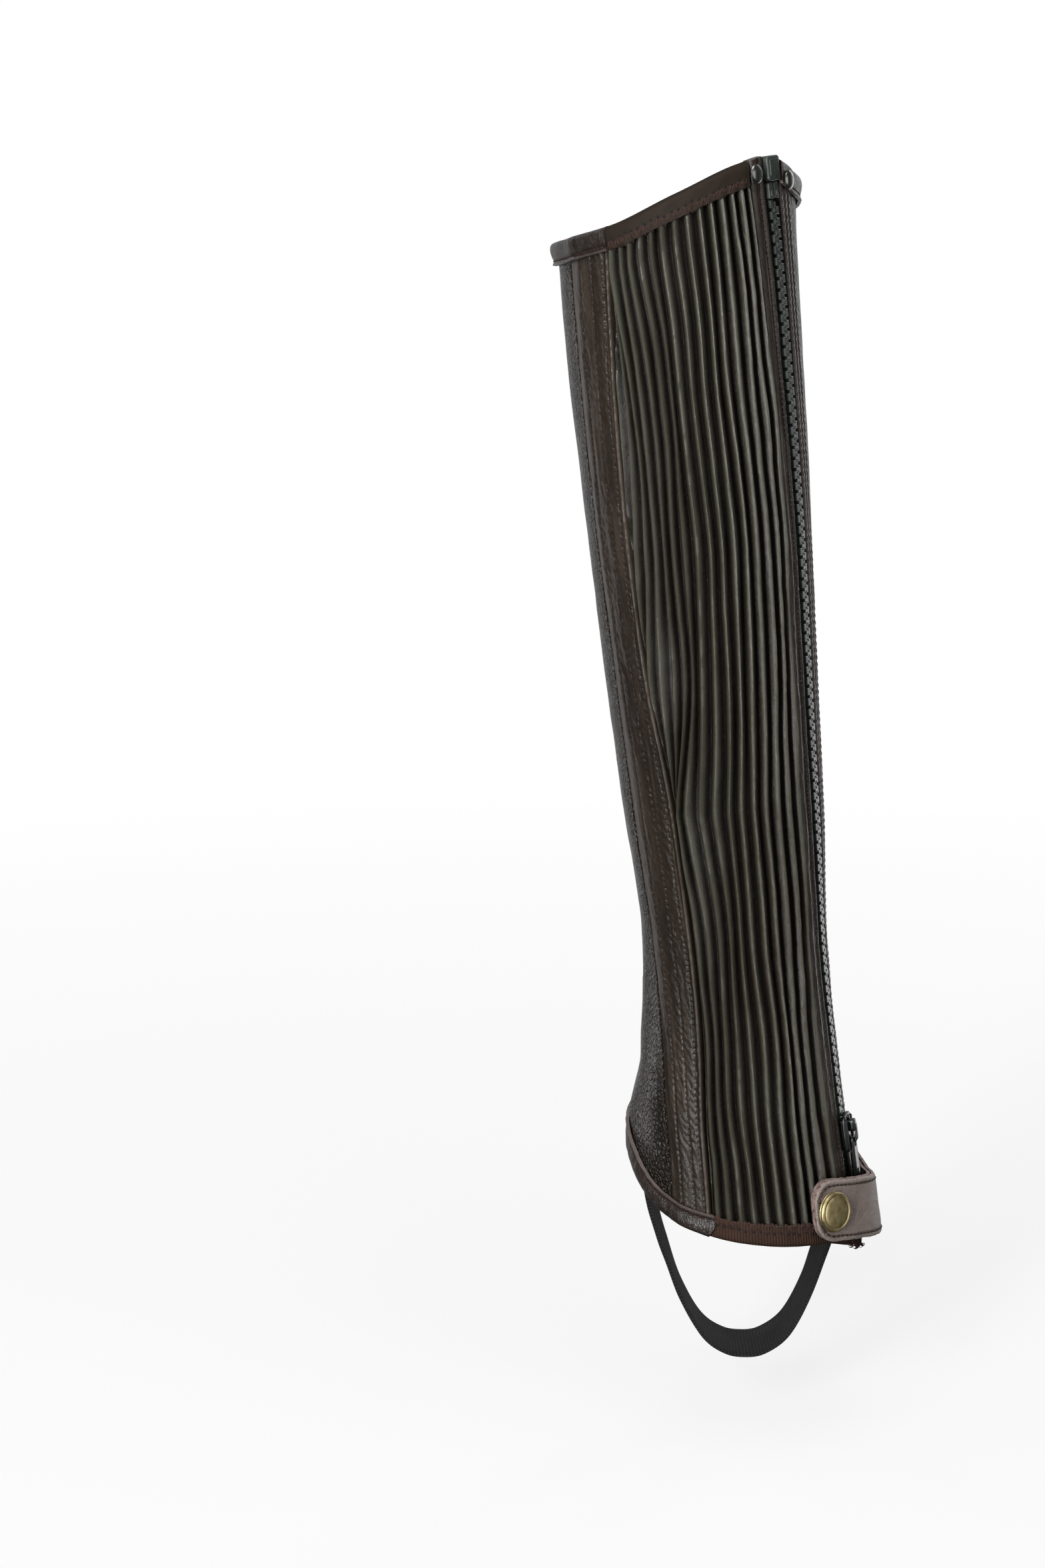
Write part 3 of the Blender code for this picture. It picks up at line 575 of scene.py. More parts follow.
def share_between(left, right, angle, height):
    """How far a place is from one seam to another, from 0 to 1."""
    return (angle - left(height)) / (right(height) - left(height))


def stitch_dip(distance, row, height, pitch, depth, width):
    """Groove that a row of stitches pulls into the leather, deepest at the holes."""
    hole = 0.5 + 0.5 * np.cos(2 * np.pi * height / pitch)
    return -depth * hump(distance, row, width) * (0.4 + 0.6 * hole)


def tucked(distance):
    """How far a lapped edge has gone behind its neighbour, from 0 to 1, by its distance past the seam."""
    return ease(distance, -0.9, 0.1)


def meeting(line, edge, start):
    """Angle where a seam meets the rim or the hem."""
    angle = start
    for _ in range(12):
        angle = line(edge(angle))
    return float(angle)


# Meshes

def object_from(name, verts, faces, finishes, indices=None, sharp=60):
    """Object from points in millimetres and faces, shaded smooth."""
    mesh = bpy.data.meshes.new(name)
    mesh.from_pydata((np.asarray(verts, float) * MM).tolist(), [], faces)
    for finish in finishes:
        mesh.materials.append(finish)
    if indices is not None:
        mesh.polygons.foreach_set("material_index", indices)
    mesh.shade_smooth()
    mesh.set_sharp_from_angle(angle=math.radians(sharp))
    thing = bpy.data.objects.new(name, mesh)
    bpy.context.scene.collection.objects.link(thing)
    return thing


def quads(at):
    """Faces of a grid of point numbers."""
    corners = np.stack([at[:-1, :-1], at[:-1, 1:], at[1:, 1:], at[1:, :-1]], -1)
    return corners.reshape(-1, 4).tolist()


def border(at):
    """Point numbers round a grid."""
    loop = list(at[0, :-1]) + list(at[:-1, -1]) + list(at[-1, :0:-1]) + list(at[:0:-1, 0])
    return [int(number) for number in loop]


def write_tone(piece, tone, step):
    """Gives a shell's points the tone of its outer grid, which carries painted shade and painted highlight
    with wear.
    """
    values = np.concatenate([tone.reshape(-1), tone[::step, ::step].reshape(-1)])
    layer = piece.data.attributes.new("tone", "FLOAT", "POINT")
    layer.data.foreach_set("value", values)


def write_strip(piece, strip, step):
    """Gives a shell's corners their place along and across its tape."""
    places = np.concatenate([strip.reshape(-1, 2), strip[::step, ::step].reshape(-1, 2)])
    corners = np.empty(len(piece.data.loops), int)
    piece.data.loops.foreach_get("vertex_index", corners)
    piece.data.uv_layers.new(name="Strip").data.foreach_set("uv", places[corners].reshape(-1))


def shell(name, outer, inner, finishes, tone=None, strip=None):
    """Closed thin wall from a fine outer grid and an equal or coarser inner grid.

    Finishes are those of the outside, the inside and the edge. Tone, from 0 for painted shade in the creases
    to 1 on crests lighter for wear and a painted highlight, and strip, a place along and across a tape in
    metres, are given on the outer grid.
    """
    rows, columns = outer.shape[:2]
    step = (rows - 1) // (inner.shape[0] - 1)
    outer_at = np.arange(rows * columns).reshape(rows, columns)
    inner_at = rows * columns + np.arange(inner.shape[0] * inner.shape[1]).reshape(inner.shape[:2])
    faces = quads(outer_at)
    count_outer = len(faces)
    faces += [face[::-1] for face in quads(inner_at)]
    count_inner = len(faces) - count_outer
    outer_loop = border(outer_at)
    inner_loop = border(inner_at)
    for index, here in enumerate(inner_loop):
        after = inner_loop[(index + 1) % len(inner_loop)]
        span = [outer_loop[(index * step + k) % len(outer_loop)] for k in range(step + 1)]
        faces.append([span[0], here, after] + span[:0:-1])
    kinds = [0] * count_outer + [1] * count_inner + [2] * len(inner_loop)
    verts = np.concatenate([outer.reshape(-1, 3), inner.reshape(-1, 3)])
    piece = object_from(name, verts, faces, finishes, kinds)
    write_tone(piece, np.full(outer.shape[:2], 0.5) if tone is None else tone, step)
    if strip is not None:
        write_strip(piece, strip, step)
    return piece


def sleeve(at):
    """Faces between neighbouring loops of point numbers, for an array of (bodies, loops, corners)."""
    near = at[:, :-1]
    far = at[:, 1:]
    return np.stack([near, np.roll(near, -1, 2), np.roll(far, -1, 2), far], -1)


def rings(name, centres, sides, ups, radii, finish, corners=6):
    """Many small round bars at once: centres, sides and ups are (bars, rings, 3), radii (bars, rings)."""
    turn = 2 * np.pi * np.arange(corners) / corners
    spread = np.cos(turn)[:, None] * sides[..., None, :] + np.sin(turn)[:, None] * ups[..., None, :]
    points = centres[..., None, :] + radii[..., None, None] * spread
    at = np.arange(radii.size * corners).reshape(*radii.shape, corners)
    faces = sleeve(at).reshape(-1, 4).tolist() + at[:, 0, ::-1].tolist() + at[:, -1].tolist()
    return object_from(name, points.reshape(-1, 3), faces, [finish], sharp=50)


def unit(vectors):
    """Vectors scaled to length 1."""
    return vectors / np.maximum(np.linalg.norm(vectors, axis=-1, keepdims=True), 1e-9)


STITCH_SHAPE = (
    # share_along, rise, sink, size
    (0.06, 0.0, 1.0, 0.7),
    (0.2, 0.5, 0.0, 1.0),
    (0.5, 1.0, 0.0, 1.05),
    (0.8, 0.5, 0.0, 1.0),
    (0.94, 0.0, 1.0, 0.7),
)
HOLE_SHAPE = (
    # share_along, size
    (-0.5, 0.5),
    (-0.3, 1.0),
    (0.3, 1.0),
    (0.5, 0.5),
)
HOLE_FLATNESS = 0.5


def bars(name, starts, along, outs, share, lift, radii, flatness, finish):
    """Small bars on a face, each bent through shares of its length at lifts above the face."""
    outs = unit(outs)
    centres = starts[:, None] + share[:, None] * along[:, None] + lift[:, None] * outs[:, None]
    sides = unit(np.cross(along, outs))[:, None] + 0 * centres
    ups = flatness * outs[:, None] + 0 * centres
    piece = rings(name, centres, sides, ups, radii + 0 * centres[..., 0], finish)
    finish_piece(piece, [])


def sew(name, rows, radius, finish, rise=0.12, sink=0.35):
    """Rows of stitches; each row is its holes and the directions out of the leather there."""
    starts = np.concatenate([holes[:-1] for holes, outs in rows])
    ends = np.concatenate([holes[1:] for holes, outs in rows])
    outs = np.concatenate([out[:-1] for holes, out in rows])
    share, up, down, size = np.array(STITCH_SHAPE).T
    bars(name, starts, ends - starts, outs, share, rise * up - sink * down, radius * size, 1.0, finish)


def dots(name, places, outs, along, radius, length, finish):
    """Painted shade of small needle holes: flat dark beads let into the surface."""
    share, size = np.array(HOLE_SHAPE).T
    bars(name, places, length * unit(along), outs, share, 0 * share, radius * size, HOLE_FLATNESS, finish)


def finish_piece(piece, nodes, body="chap"):
    """Puts a piece on its body, in place of its solids."""
    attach(piece, body)
    if nodes:
        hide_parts(*nodes)


# Materials

def make_material(name, roughness, metallic=0.0):
    """Material with a Principled shader, and its tree."""
    made = bpy.data.materials.new(name)
    made.use_nodes = True
    shader = made.node_tree.nodes["Principled BSDF"]
    shader.inputs["Roughness"].default_value = roughness
    shader.inputs["Metallic"].default_value = metallic
    return made, made.node_tree, shader


def node(tree, kind, settings=None, **inputs):
    """Node with its settings, and inputs by name or number given as values or as other nodes' outputs."""
    made = tree.nodes.new("ShaderNode" + kind)
    for key, value in (settings or {}).items():
        setattr(made, key, value)
    for key, value in inputs.items():
        numbered = key[0] == "i" and key[1:].isdigit()
        socket = made.inputs[int(key[1:])] if numbered else made.inputs[key.replace("_", " ")]
        if isinstance(value, bpy.types.NodeSocket):
            tree.links.new(value, socket)
        else:
            socket.default_value = value
    return made


def coordinates(tree, scale=(1.0, 1.0, 1.0)):
    """Place on the object in metres, stretched."""
    place = node(tree, "TexCoord").outputs["Object"]
    return node(tree, "Mapping", Vector=place, Scale=scale).outputs["Vector"]


def noise(tree, vector, scale, detail=2.0, roughness=0.5):
    """Noise from 0 to 1, with cells per metre."""
    made = node(tree, "TexNoise", Vector=vector, Scale=scale, Detail=detail, Roughness=roughness)
    return made.outputs["Fac"]


def maths(tree, operation, first, second=0.5):
    """Sum, product or other simple step."""
    return node(tree, "Math", {"operation": operation}, i0=first, i1=second).outputs[0]


def remap(tree, value, low, high, to_low=0.0, to_high=1.0):
    """Value moved from one range to another."""
    return node(tree, "MapRange", i0=value, i1=low, i2=high, i3=to_low, i4=to_high).outputs[0]


def mixed(tree, share, first, second):
    """Colour between two colours."""
    made = tree.nodes.new("ShaderNodeMix")
    made.data_type = "RGBA"
    tree.links.new(share, made.inputs[0])
    for socket, value in ((made.inputs[6], first), (made.inputs[7], second)):
        if isinstance(value, bpy.types.NodeSocket):
            tree.links.new(value, socket)
        else:
            socket.default_value = (*value, 1.0)
    return made.outputs[2]


def bump(tree, height, distance, strength=1.0, normal=None):
    """Surface detail from a height from 0 to 1, with its real depth in metres."""
    made = node(tree, "Bump", Height=height, Distance=distance, Strength=strength)
    if normal is not None:
        tree.links.new(normal, made.inputs["Normal"])
    return made.outputs["Normal"]


# Painted shade and painted highlight, with wear, come from the tone attribute read here
def worn(tree):
    """Tone of the surface, from 0 for painted shade in the creases to 1 on crests lighter for wear and a
    painted highlight.
    """
    return node(tree, "Attribute", {"attribute_name": "tone"}).outputs["Fac"]


def leather(name, dark, light, painted_shade, crest, cell, depth, stretch=1.0, gloss=(0.36, 0.5), gap_shade=1.0,
            shine=0.5):
    """Leather whose pebbles have a cell size and depth in metres; stretch lengthens them upward.

    Its colours are those of the darker and lighter patches, of the painted shade in the creases and of the
    crests, lighter for wear and a painted highlight. The argument after gloss is how far the lines between
    the pebbles take the painted shade, and shine is the specular level.
    """
    made, tree, shader = make_material(name, 0.42)
    shader.inputs["Specular IOR Level"].default_value = shine
    plain = coordinates(tree)
    shaped = coordinates(tree, (1.0, 1.0, 1.0 / stretch))
    bend = node(tree, "TexNoise", Vector=shaped, Scale=0.5 / cell, Detail=3.0, Roughness=0.6).outputs["Color"]
    shift = node(tree, "VectorMath", {"operation": "SCALE"}, i0=bend, Scale=1.2 * cell).outputs[0]
    bent = node(tree, "VectorMath", {"operation": "ADD"}, i0=shaped, i1=shift).outputs[0]
    cells = node(tree, "TexVoronoi", {"feature": "DISTANCE_TO_EDGE"}, Vector=bent, Scale=1.0 / cell)
    pebble = node(tree, "Math", {"operation": "SQRT"}, i0=remap(tree, cells.outputs["Distance"], 0.0, 0.45))
    uneven = noise(tree, plain, 0.3 / cell, 2.0)
    high = maths(tree, "MULTIPLY", pebble.outputs[0], remap(tree, uneven, 0.3, 0.7, 0.45, 1.0))
    fine = noise(tree, plain, 2200.0, 3.0, 0.6)
    soft = noise(tree, shaped, 90.0, 3.0, 0.55)
    rough_normal = bump(tree, fine, PORES)
    grain_normal = bump(tree, high, depth, 1.0, rough_normal)
    normal = bump(tree, soft, 0.0009, 0.6, grain_normal)
    patch = noise(tree, coordinates(tree, (1.0, 1.0, 0.35)), 38.0, 5.0, 0.6)
    base = mixed(tree, remap(tree, patch, 0.35, 0.65), dark, light)
    # Painted shade: low tone mixes the creases toward the shade colour, and the lines between the pebbles
    # take it as well; high tone lightens crests for wear and a painted highlight
    toned = mixed(tree, remap(tree, worn(tree), 0.5, 1.0), base, crest)
    toned = mixed(tree, remap(tree, worn(tree), 0.0, 0.5), painted_shade, toned)
    shown = remap(tree, high, 0.0, 0.5, 1.0 - gap_shade, 1.0)
    tree.links.new(mixed(tree, shown, painted_shade, toned), shader.inputs["Base Color"])
    tree.links.new(remap(tree, fine, 0.3, 0.7, *gloss), shader.inputs["Roughness"])
    tree.links.new(normal, shader.inputs["Normal"])
    return made


def flesh_side(name, dark, light):
    """Matt, fibrous inner side of leather."""
    made, tree, shader = make_material(name, 0.92)
    fibres = noise(tree, coordinates(tree), 1400.0, 4.0, 0.7)
    patch = noise(tree, coordinates(tree), 60.0, 4.0, 0.6)
    both = maths(tree, "MULTIPLY", remap(tree, fibres, 0.3, 0.7), remap(tree, patch, 0.3, 0.7, 0.5, 1.0))
    tree.links.new(mixed(tree, both, dark, light), shader.inputs["Base Color"])
    tree.links.new(bump(tree, fibres, 0.0003), shader.inputs["Normal"])
    return made


def webbing(name, dark, light, pitch, depth, roughness=0.8, across=1.6):
    """Woven elastic whose ribs follow the piece's own strip map, with their pitch in metres; painted shade
    darkens the grooves between the ribs.
    """
    made, tree, shader = make_material(name, roughness)
    shader.inputs["Specular IOR Level"].default_value = 0.2
    strip = node(tree, "UVMap", {"uv_map": "Strip"}).outputs["UV"]
    parts = node(tree, "SeparateXYZ", Vector=strip)
    turn = 2 * math.pi / pitch
    waves = []
    for output, pace in ((parts.outputs[0], turn), (parts.outputs[1], across * turn)):
        waves.append(maths(tree, "SINE", maths(tree, "MULTIPLY", output, pace)))
    woven = maths(tree, "MULTIPLY", waves[1], 0.35)
    rib = remap(tree, maths(tree, "ADD", waves[0], woven), -1.2, 1.2)
    fuzz = noise(tree, coordinates(tree), 2600.0, 3.0, 0.7)
    height = maths(tree, "ADD", rib, maths(tree, "MULTIPLY", fuzz, 0.5))
    patch = noise(tree, coordinates(tree), 60.0, 4.0)
    # Painted shade: the colour darkens toward the grooves between the ribs
    groove_shade = remap(tree, rib, 0.0, 0.8, 0.25, 1.0)
    patched = remap(tree, patch, 0.3, 0.7, 0.6, 1.0)
    tone = maths(tree, "MULTIPLY", groove_shade, patched)
    tree.links.new(mixed(tree, tone, dark, light), shader.inputs["Base Color"])
    tree.links.new(bump(tree, height, depth), shader.inputs["Normal"])
    return made


def speckled(name, dark, light, scale, depth, roughness, metallic=0.0):
    """Finish with fine uneven tone and surface: thread, plastic, lacquer and metal."""
    made, tree, shader = make_material(name, roughness, metallic)
    tone = noise(tree, coordinates(tree), scale, 4.0, 0.6)
    tree.links.new(mixed(tree, remap(tree, tone, 0.35, 0.65), dark, light), shader.inputs["Base Color"])
    tree.links.new(bump(tree, tone, depth), shader.inputs["Normal"])
    return made


PORES = 0.00005

# Leather: name, darker and lighter patch, painted shade of the creases and of the lines between pebbles,
# crest colour lighter for wear and a painted highlight, cell, depth, stretch, gloss, share of painted shade
# between pebbles, shine
GRAINED = leather("grained_leather", (0.019, 0.013, 0.009), (0.034, 0.025, 0.018), (0.003, 0.002, 0.001),
                  (0.070, 0.054, 0.045), 0.0016, 0.00190, 1.3, (0.26, 0.36), shine=0.4)
BANDED = leather("smooth_leather", (0.018, 0.011, 0.007), (0.034, 0.023, 0.015), (0.006, 0.004, 0.002),
                 (0.075, 0.057, 0.043), 0.0006, 0.00010, 2.6, (0.32, 0.46), 0.4)
PLEATED = leather("pleat_leather", (0.038, 0.029, 0.020), (0.045, 0.045, 0.028), (0.004, 0.003, 0.002),
                  (0.052, 0.050, 0.035), 0.0004, 0.00006, 1.2, (0.26, 0.38), 0.2)
EDGED = leather("edge_leather", (0.030, 0.019, 0.015), (0.050, 0.036, 0.030), (0.004, 0.003, 0.002),
                (0.150, 0.120, 0.110), 0.0005, 0.00008, 1.8, (0.28, 0.42), 0.4)
ROLLED = leather("rolled_leather", (0.013, 0.008, 0.006), (0.025, 0.017, 0.013), (0.004, 0.002, 0.001),
                 (0.075, 0.056, 0.047), 0.0008, 0.00018, 2.0, (0.32, 0.44), 0.5)
STRAPPED = leather("strap_leather", (0.205, 0.158, 0.140), (0.305, 0.252, 0.227), (0.060, 0.036, 0.028),
                   (0.340, 0.285, 0.255), 0.0008, 0.00026, 1.0, (0.40, 0.54), 0.5)

# Backs of leather: name, darker and lighter tone
FLESH = flesh_side("leather_back", (0.018, 0.012, 0.009), (0.045, 0.031, 0.024))
LINING = flesh_side("woven_back", (0.008, 0.007, 0.006), (0.020, 0.017, 0.015))

# Woven tapes: name, darker and lighter tone, the rib grooves taking painted shade toward the darker, pitch,
# depth, roughness
TOP_TAPE = webbing("top_elastic_weave", (0.013, 0.008, 0.005), (0.024, 0.016, 0.010), 0.0007, 0.00002, 0.70)
HEM_TAPE = webbing("hem_elastic_weave", (0.010, 0.005, 0.003), (0.060, 0.031, 0.020), 0.00112, 0.00022, 0.78)
STIRRUP_TAPE = webbing("stirrup_weave", (0.006, 0.006, 0.006), (0.030, 0.028, 0.028), 0.0014, 0.0003, 0.8)
BLACK_TAPE = webbing("zip_tape_weave", (0.002, 0.002, 0.002), (0.010, 0.009, 0.009), 0.0009, 0.0002, 0.75)

# Other finishes: name, darker and lighter tone, scale, depth, roughness, metallic
STRAP_EDGE = speckled("strap_cut_edge", (0.090, 0.045, 0.038), (0.340, 0.250, 0.225), 700.0, 0.0002, 0.6)
RAW_EDGE = speckled("raw_edge", (0.050, 0.024, 0.020), (0.140, 0.090, 0.080), 900.0, 0.0002, 0.7)
BROWN_THREAD = speckled("brown_thread", (0.012, 0.005, 0.003), (0.034, 0.017, 0.011), 1500.0, 0.0001, 0.55)
RED_THREAD = speckled("red_brown_thread", (0.012, 0.004, 0.002), (0.050, 0.018, 0.010), 1200.0, 0.0001, 0.8)
# Painted shade standing in for the dark insides of needle holes
HOLE_SHADE = speckled("painted_hole_shade", (0.002, 0.001, 0.001), (0.006, 0.003, 0.003), 900.0, 0.0001, 0.9)
TOOTH_PLASTIC = speckled("tooth_plastic", (0.028, 0.034, 0.030), (0.050, 0.060, 0.052), 500.0, 0.00004, 0.34)
LACQUER = speckled("black_lacquer", (0.002, 0.003, 0.003), (0.004, 0.006, 0.006), 60.0, 0.00002, 0.34)
BRASS = speckled("antique_brass_metal", (0.37, 0.29, 0.130), (0.64, 0.54, 0.30), 260.0, 0.00003, 0.45, 1.0)
STEEL = speckled("gunmetal_metal", (0.16, 0.16, 0.155), (0.30, 0.30, 0.29), 200.0, 0.00002, 0.3, 1.0)


# Leather panels
#
# A row of a relief is height, centre and spread. A row of wrinkles is height, length, width and seed.

PANEL_ROWS = 896
INNER_STEP = 4
COARSE = (slice(None, None, INNER_STEP), slice(None, None, INNER_STEP))

FRONT_EDGE_RELIEF = ((-0.6, -0.1, 0.4),)
FRONT_SEAM_RELIEF = (
    (0.45, 0.9, 0.8),
    (-0.5, 0.0, 0.35),
)
FRONT_ROPES = (
    # middle, phase
    (1.3, 0.0),
    (4.6, 0.4),
    (7.6, 0.8),
)
ROPE_SPREAD = 1.15
ROPE_RISE = 0.36
ROPE_PUCKER = 0.20
ROPE_SLANT = 0.22
FRONT_WEAR = (
    (0.26, 26.0, 18.0, 3),
    (0.10, 8.0, 7.0, 4),
)
FRONT_WEAR_START = (2.0, 16.0)
# Tone of the zip edge: lighter on its ropes for wear and a painted highlight, painted shade at its very edge
FRONT_PAINTED_LIGHT_AND_WEAR = (
    (0.25, 1.3, 1.0),
    (0.5, 4.6, 0.7),
    (0.3, 7.8, 0.8),
    (-0.5, -0.2, 0.4),
)
FRONT_COLUMNS = (
    # first_share, last_share, steps
    (0.0, 0.050, 32),
    (0.050, 0.985, 60),
    (0.985, 1.0, 8),
)
FRONT_STRIP_STEPS = 31

BAND_WRINKLES = (
    # height, slant, length, width, seed
    (0.12, 0.0, 34.0, 2.6, 11),
    (0.10, 0.12, 9.0, 1.6, 12),
    (0.07, -0.08, 3.6, 1.2, 13),
)
BAND_EDGE_RELIEF = (
    (0.35, -0.9, 0.6),
    (-1.0, 0.1, 0.45),
    (-0.35, -2.3, 0.4),
)
BAND_PUCKER_PITCH = 4.6
BAND_PUCKER_SLANT = 0.26
BAND_PUCKER_SIDES = (-1.5, 1.5)
BAND_PUCKER_SPREAD = 1.1

PLACKET_RELIEF = (
    (0.3, 2.2, 1.6),
    (0.3, 6.8, 0.9),
    (-0.25, 3.6, 0.5),
    (-0.6, PLACKET_WIDTH, 0.4),
    (-0.8, 0.0, 0.45),
)
PLACKET_WRINKLES = (
    (0.13, 16.0, 1.5, 21),
    (0.06, 3.0, 1.0, 22),
)
# Tone of the placket: lighter on the ribs and beside the tape for wear and a painted highlight, painted shade
# in the sewing and at the seam
PLACKET_PAINTED_LIGHT_AND_WEAR = (
    (0.45, PLACKET_WIDTH - 0.6, 0.4),
    (0.15, 2.2, 1.4),
    (-0.3, PLACKET_ROW, 0.4),
    (-0.5, 0.0, 0.5),
)


def wall(angle, height, out, behind, thickness):
    """Outer face of a leather wall, and its plain inner face on a coarser grid.

    Behind, from 0 to 1, is how far the wall has gone behind its neighbour, where it has the thickness.
    """
    out = out * (1 - behind) - (LEATHER + TUCK_GAP) * behind
    inside = 0 * out - LEATHER - (TUCK_GAP + thickness) * behind
    return surface(angle, height, out), surface(angle[COARSE], height[COARSE], inside[COARSE])


def panel(name, seams, top, across, out_at, tone_at, finishes, lap=None):
    """Leather panel between two seams, from the wall's foot up to an edge, with its relief outside.

    Lap gives how far a place is past the seam where the wall goes behind its neighbour.
    """
    angle, height = grid_of(*seams, wall_foot, top, across, PANEL_ROWS)
    behind = tucked(lap(angle, height)) if lap else 0.0
    outer, inner = wall(angle, height, out_at(angle, height), behind, LEATHER)
    piece = shell(name + "_shell", outer, inner, finishes, tone_at(angle, height))
    finish_piece(piece, [name])
    return piece


def front_base(angle, height):
    """Outer face of the front panel without its sewing and wear."""
    distance = distance_from(front_edge, angle, height)
    return FRONT_FOLD_OUT * (1 - ease(distance, FRONT_FOLD_WIDTH - 1.5, FRONT_FOLD_WIDTH + 1.5))


def front_out(angle, height):
    """Outer face of the front panel: its zip edge is folded, double-stitched and puckered like rope."""
    distance = distance_from(front_edge, angle, height)
    out = front_base(angle, height) + humps(distance, FRONT_EDGE_RELIEF)
    for row in FRONT_ROWS:
        out = out + stitch_dip(distance, row, height, FRONT_STITCH, 0.5, 0.6)
    uneven = 0.6 + 0.4 * waviness(height, distance, 6.0, 30.0, 5)
    for middle, phase in FRONT_ROPES:
        pucker = np.cos(2 * np.pi * (height / FRONT_STITCH + ROPE_SLANT * distance + phase))
        out = out + hump(distance, middle, ROPE_SPREAD) * (ROPE_RISE + ROPE_PUCKER * pucker * uneven)
    seam_side = -distance_from(round_the_front, angle, height)
    wear = wrinkles(height, distance, FRONT_WEAR) * ease(distance, *FRONT_WEAR_START)
    return out + humps(seam_side, FRONT_SEAM_RELIEF) + wear


def front_painted_light_and_wear(angle, height):
    """Lighter along the puckered edge and beside the medial seam, for wear and a painted highlight; darker
    with painted shade in the sewing and at the very edge.
    """
    distance = distance_from(front_edge, angle, height)
    seam_side = -distance_from(round_the_front, angle, height)
    tone = 0.45 + humps(distance, FRONT_PAINTED_LIGHT_AND_WEAR) + 0.4 * hump(seam_side, 0.8, 0.5)
    for row in FRONT_ROWS:
        tone = tone - 0.4 * hump(distance, row, 0.5)
    return np.clip(tone, 0, 1)


def build_front_panel():
    """Grained leather from the zip round the shin to the medial seam, its zip edge of its own finish."""
    across = np.concatenate([np.linspace(first, last, steps + 1)[1 if first else 0:]
                             for first, last, steps in FRONT_COLUMNS])
    seams = (front_edge, beside(round_the_front, -SEAM / 2))
    piece = panel("front_panel", seams, wall_top, across, front_out, front_painted_light_and_wear,
                  [GRAINED, FLESH, EDGED, EDGED])
    outer_faces = np.arange(PANEL_ROWS * (len(across) - 1)).reshape(PANEL_ROWS, -1)
    kinds = np.empty(len(piece.data.polygons), int)
    piece.data.polygons.foreach_get("material_index", kinds)
    kinds[outer_faces[:, :FRONT_STRIP_STEPS].reshape(-1)] = 3
    piece.data.polygons.foreach_set("material_index", kinds)


def band_width(height):
    """Width of the band at a height."""
    middle = (band_edge(height) + grain_seam(height)) / 2
    return (band_edge(height) - grain_seam(height)) / degrees_for(middle, height, 1.0)


def band_base(distance):
    """Outer face of the band without its sewing, rising from the grain seam."""
    return BAND_SEAM_OUT + (BAND_OUT - BAND_SEAM_OUT) * ease(distance, 1.0, 6.0)


def band_puckers(away, height, index):
    """Puckers on both sides of one of the band's stitch rows, by the distance from the row."""
    drift = 1.1 * waviness(height, 0.0, 13.0, 1.0, 84 + index)
    phase = height / BAND_PUCKER_PITCH + BAND_PUCKER_SLANT * away + drift
    strength = 0.07 + 0.06 * waviness(height, away, 17.0, 30.0, 87 + index)
    beside_row = sum(hump(away, side, BAND_PUCKER_SPREAD) for side in BAND_PUCKER_SIDES)
    return beside_row * strength * (0.5 + np.cos(2 * np.pi * phase))


def band_out(angle, height):
    """Outer face of the band: puckers beside three rows of stitching, with a folded edge."""
    width = band_width(height)
    distance = share_between(grain_seam, band_edge, angle, height) * width
    out = band_base(distance) + humps(distance - width, BAND_EDGE_RELIEF)
    for index, row in enumerate(BAND_ROWS):
        away = distance - row * width + 0.5 * waviness(height, 0.0, 26.0, 1.0, 81 + index)
        out = out + stitch_dip(away, 0.0, height, BAND_STITCH, 0.45, 0.5) + band_puckers(away, height, index)
    for rise, slant, *cells in BAND_WRINKLES:
        out = out + rise * waviness(height, distance + slant * height, *cells)
    return out


def band_painted_light_and_wear(angle, height):
    """Lighter on the folded edge for wear and a painted highlight, darker with painted shade in the sewing
    and the seam.
    """
    width = band_width(height)
    distance = share_between(grain_seam, band_edge, angle, height) * width
    # Painted highlight with wear on the folded edge, painted shade at the grain seam and in the stitch rows
    tone = 0.5 + 0.5 * hump(distance, width - 0.7, 0.45) - 0.5 * hump(distance, 0.1, 0.4)
    for row in BAND_ROWS:
        tone = tone - 0.2 * hump(distance, row * width, 0.6)
    return np.clip(tone + 0.25 * waviness(height, distance, 30.0, 1.6, 14), 0, 1)


def build_side_band():
    """Smooth strip between the grained leather and the pleats."""
    def past_seam(angle, height):
        return -distance_from(grain_seam, angle, height)

    seams = (beside(grain_seam, -TUCK), band_edge)
    panel("side_band", seams, wall_top, np.linspace(0, 1, 65), band_out, band_painted_light_and_wear,
          [BANDED, FLESH, BANDED], past_seam)


def placket_raised(height, angle):
    """How far the doubled tab at the placket's top has risen, from 0 to 1."""
    return ease(height, rim(angle) - PLACKET_TAB_HEIGHT, rim(angle) - 0.4 * PLACKET_TAB_HEIGHT)


def placket_out(angle, height):
    """Outer face of the placket: a broad rib, a stitched channel, a narrow rib and a raised tab on top."""
    share = share_between(placket_seam, placket_edge, angle, height)
    distance = share * PLACKET_WIDTH
    out = PLACKET_OUT + humps(distance, PLACKET_RELIEF) + wrinkles(height, distance, PLACKET_WRINKLES)
    out = out + stitch_dip(distance, PLACKET_ROW, height, PLACKET_STITCH, 0.45, 0.5)
    return out + PLACKET_TAB_RISE * (1 - share) * placket_raised(height, angle)


def placket_painted_light_and_wear(angle, height):
    """Lighter on the ribs and beside the tape for wear and a painted highlight, darker with painted shade in
    the sewing and at the seam beside the pleats.
    """
    distance = share_between(placket_seam, placket_edge, angle, height) * PLACKET_WIDTH
    tone = 0.5 + humps(distance, PLACKET_PAINTED_LIGHT_AND_WEAR)
    return np.clip(tone + 0.2 * waviness(height, distance, 18.0, 1.2, 23), 0, 1)


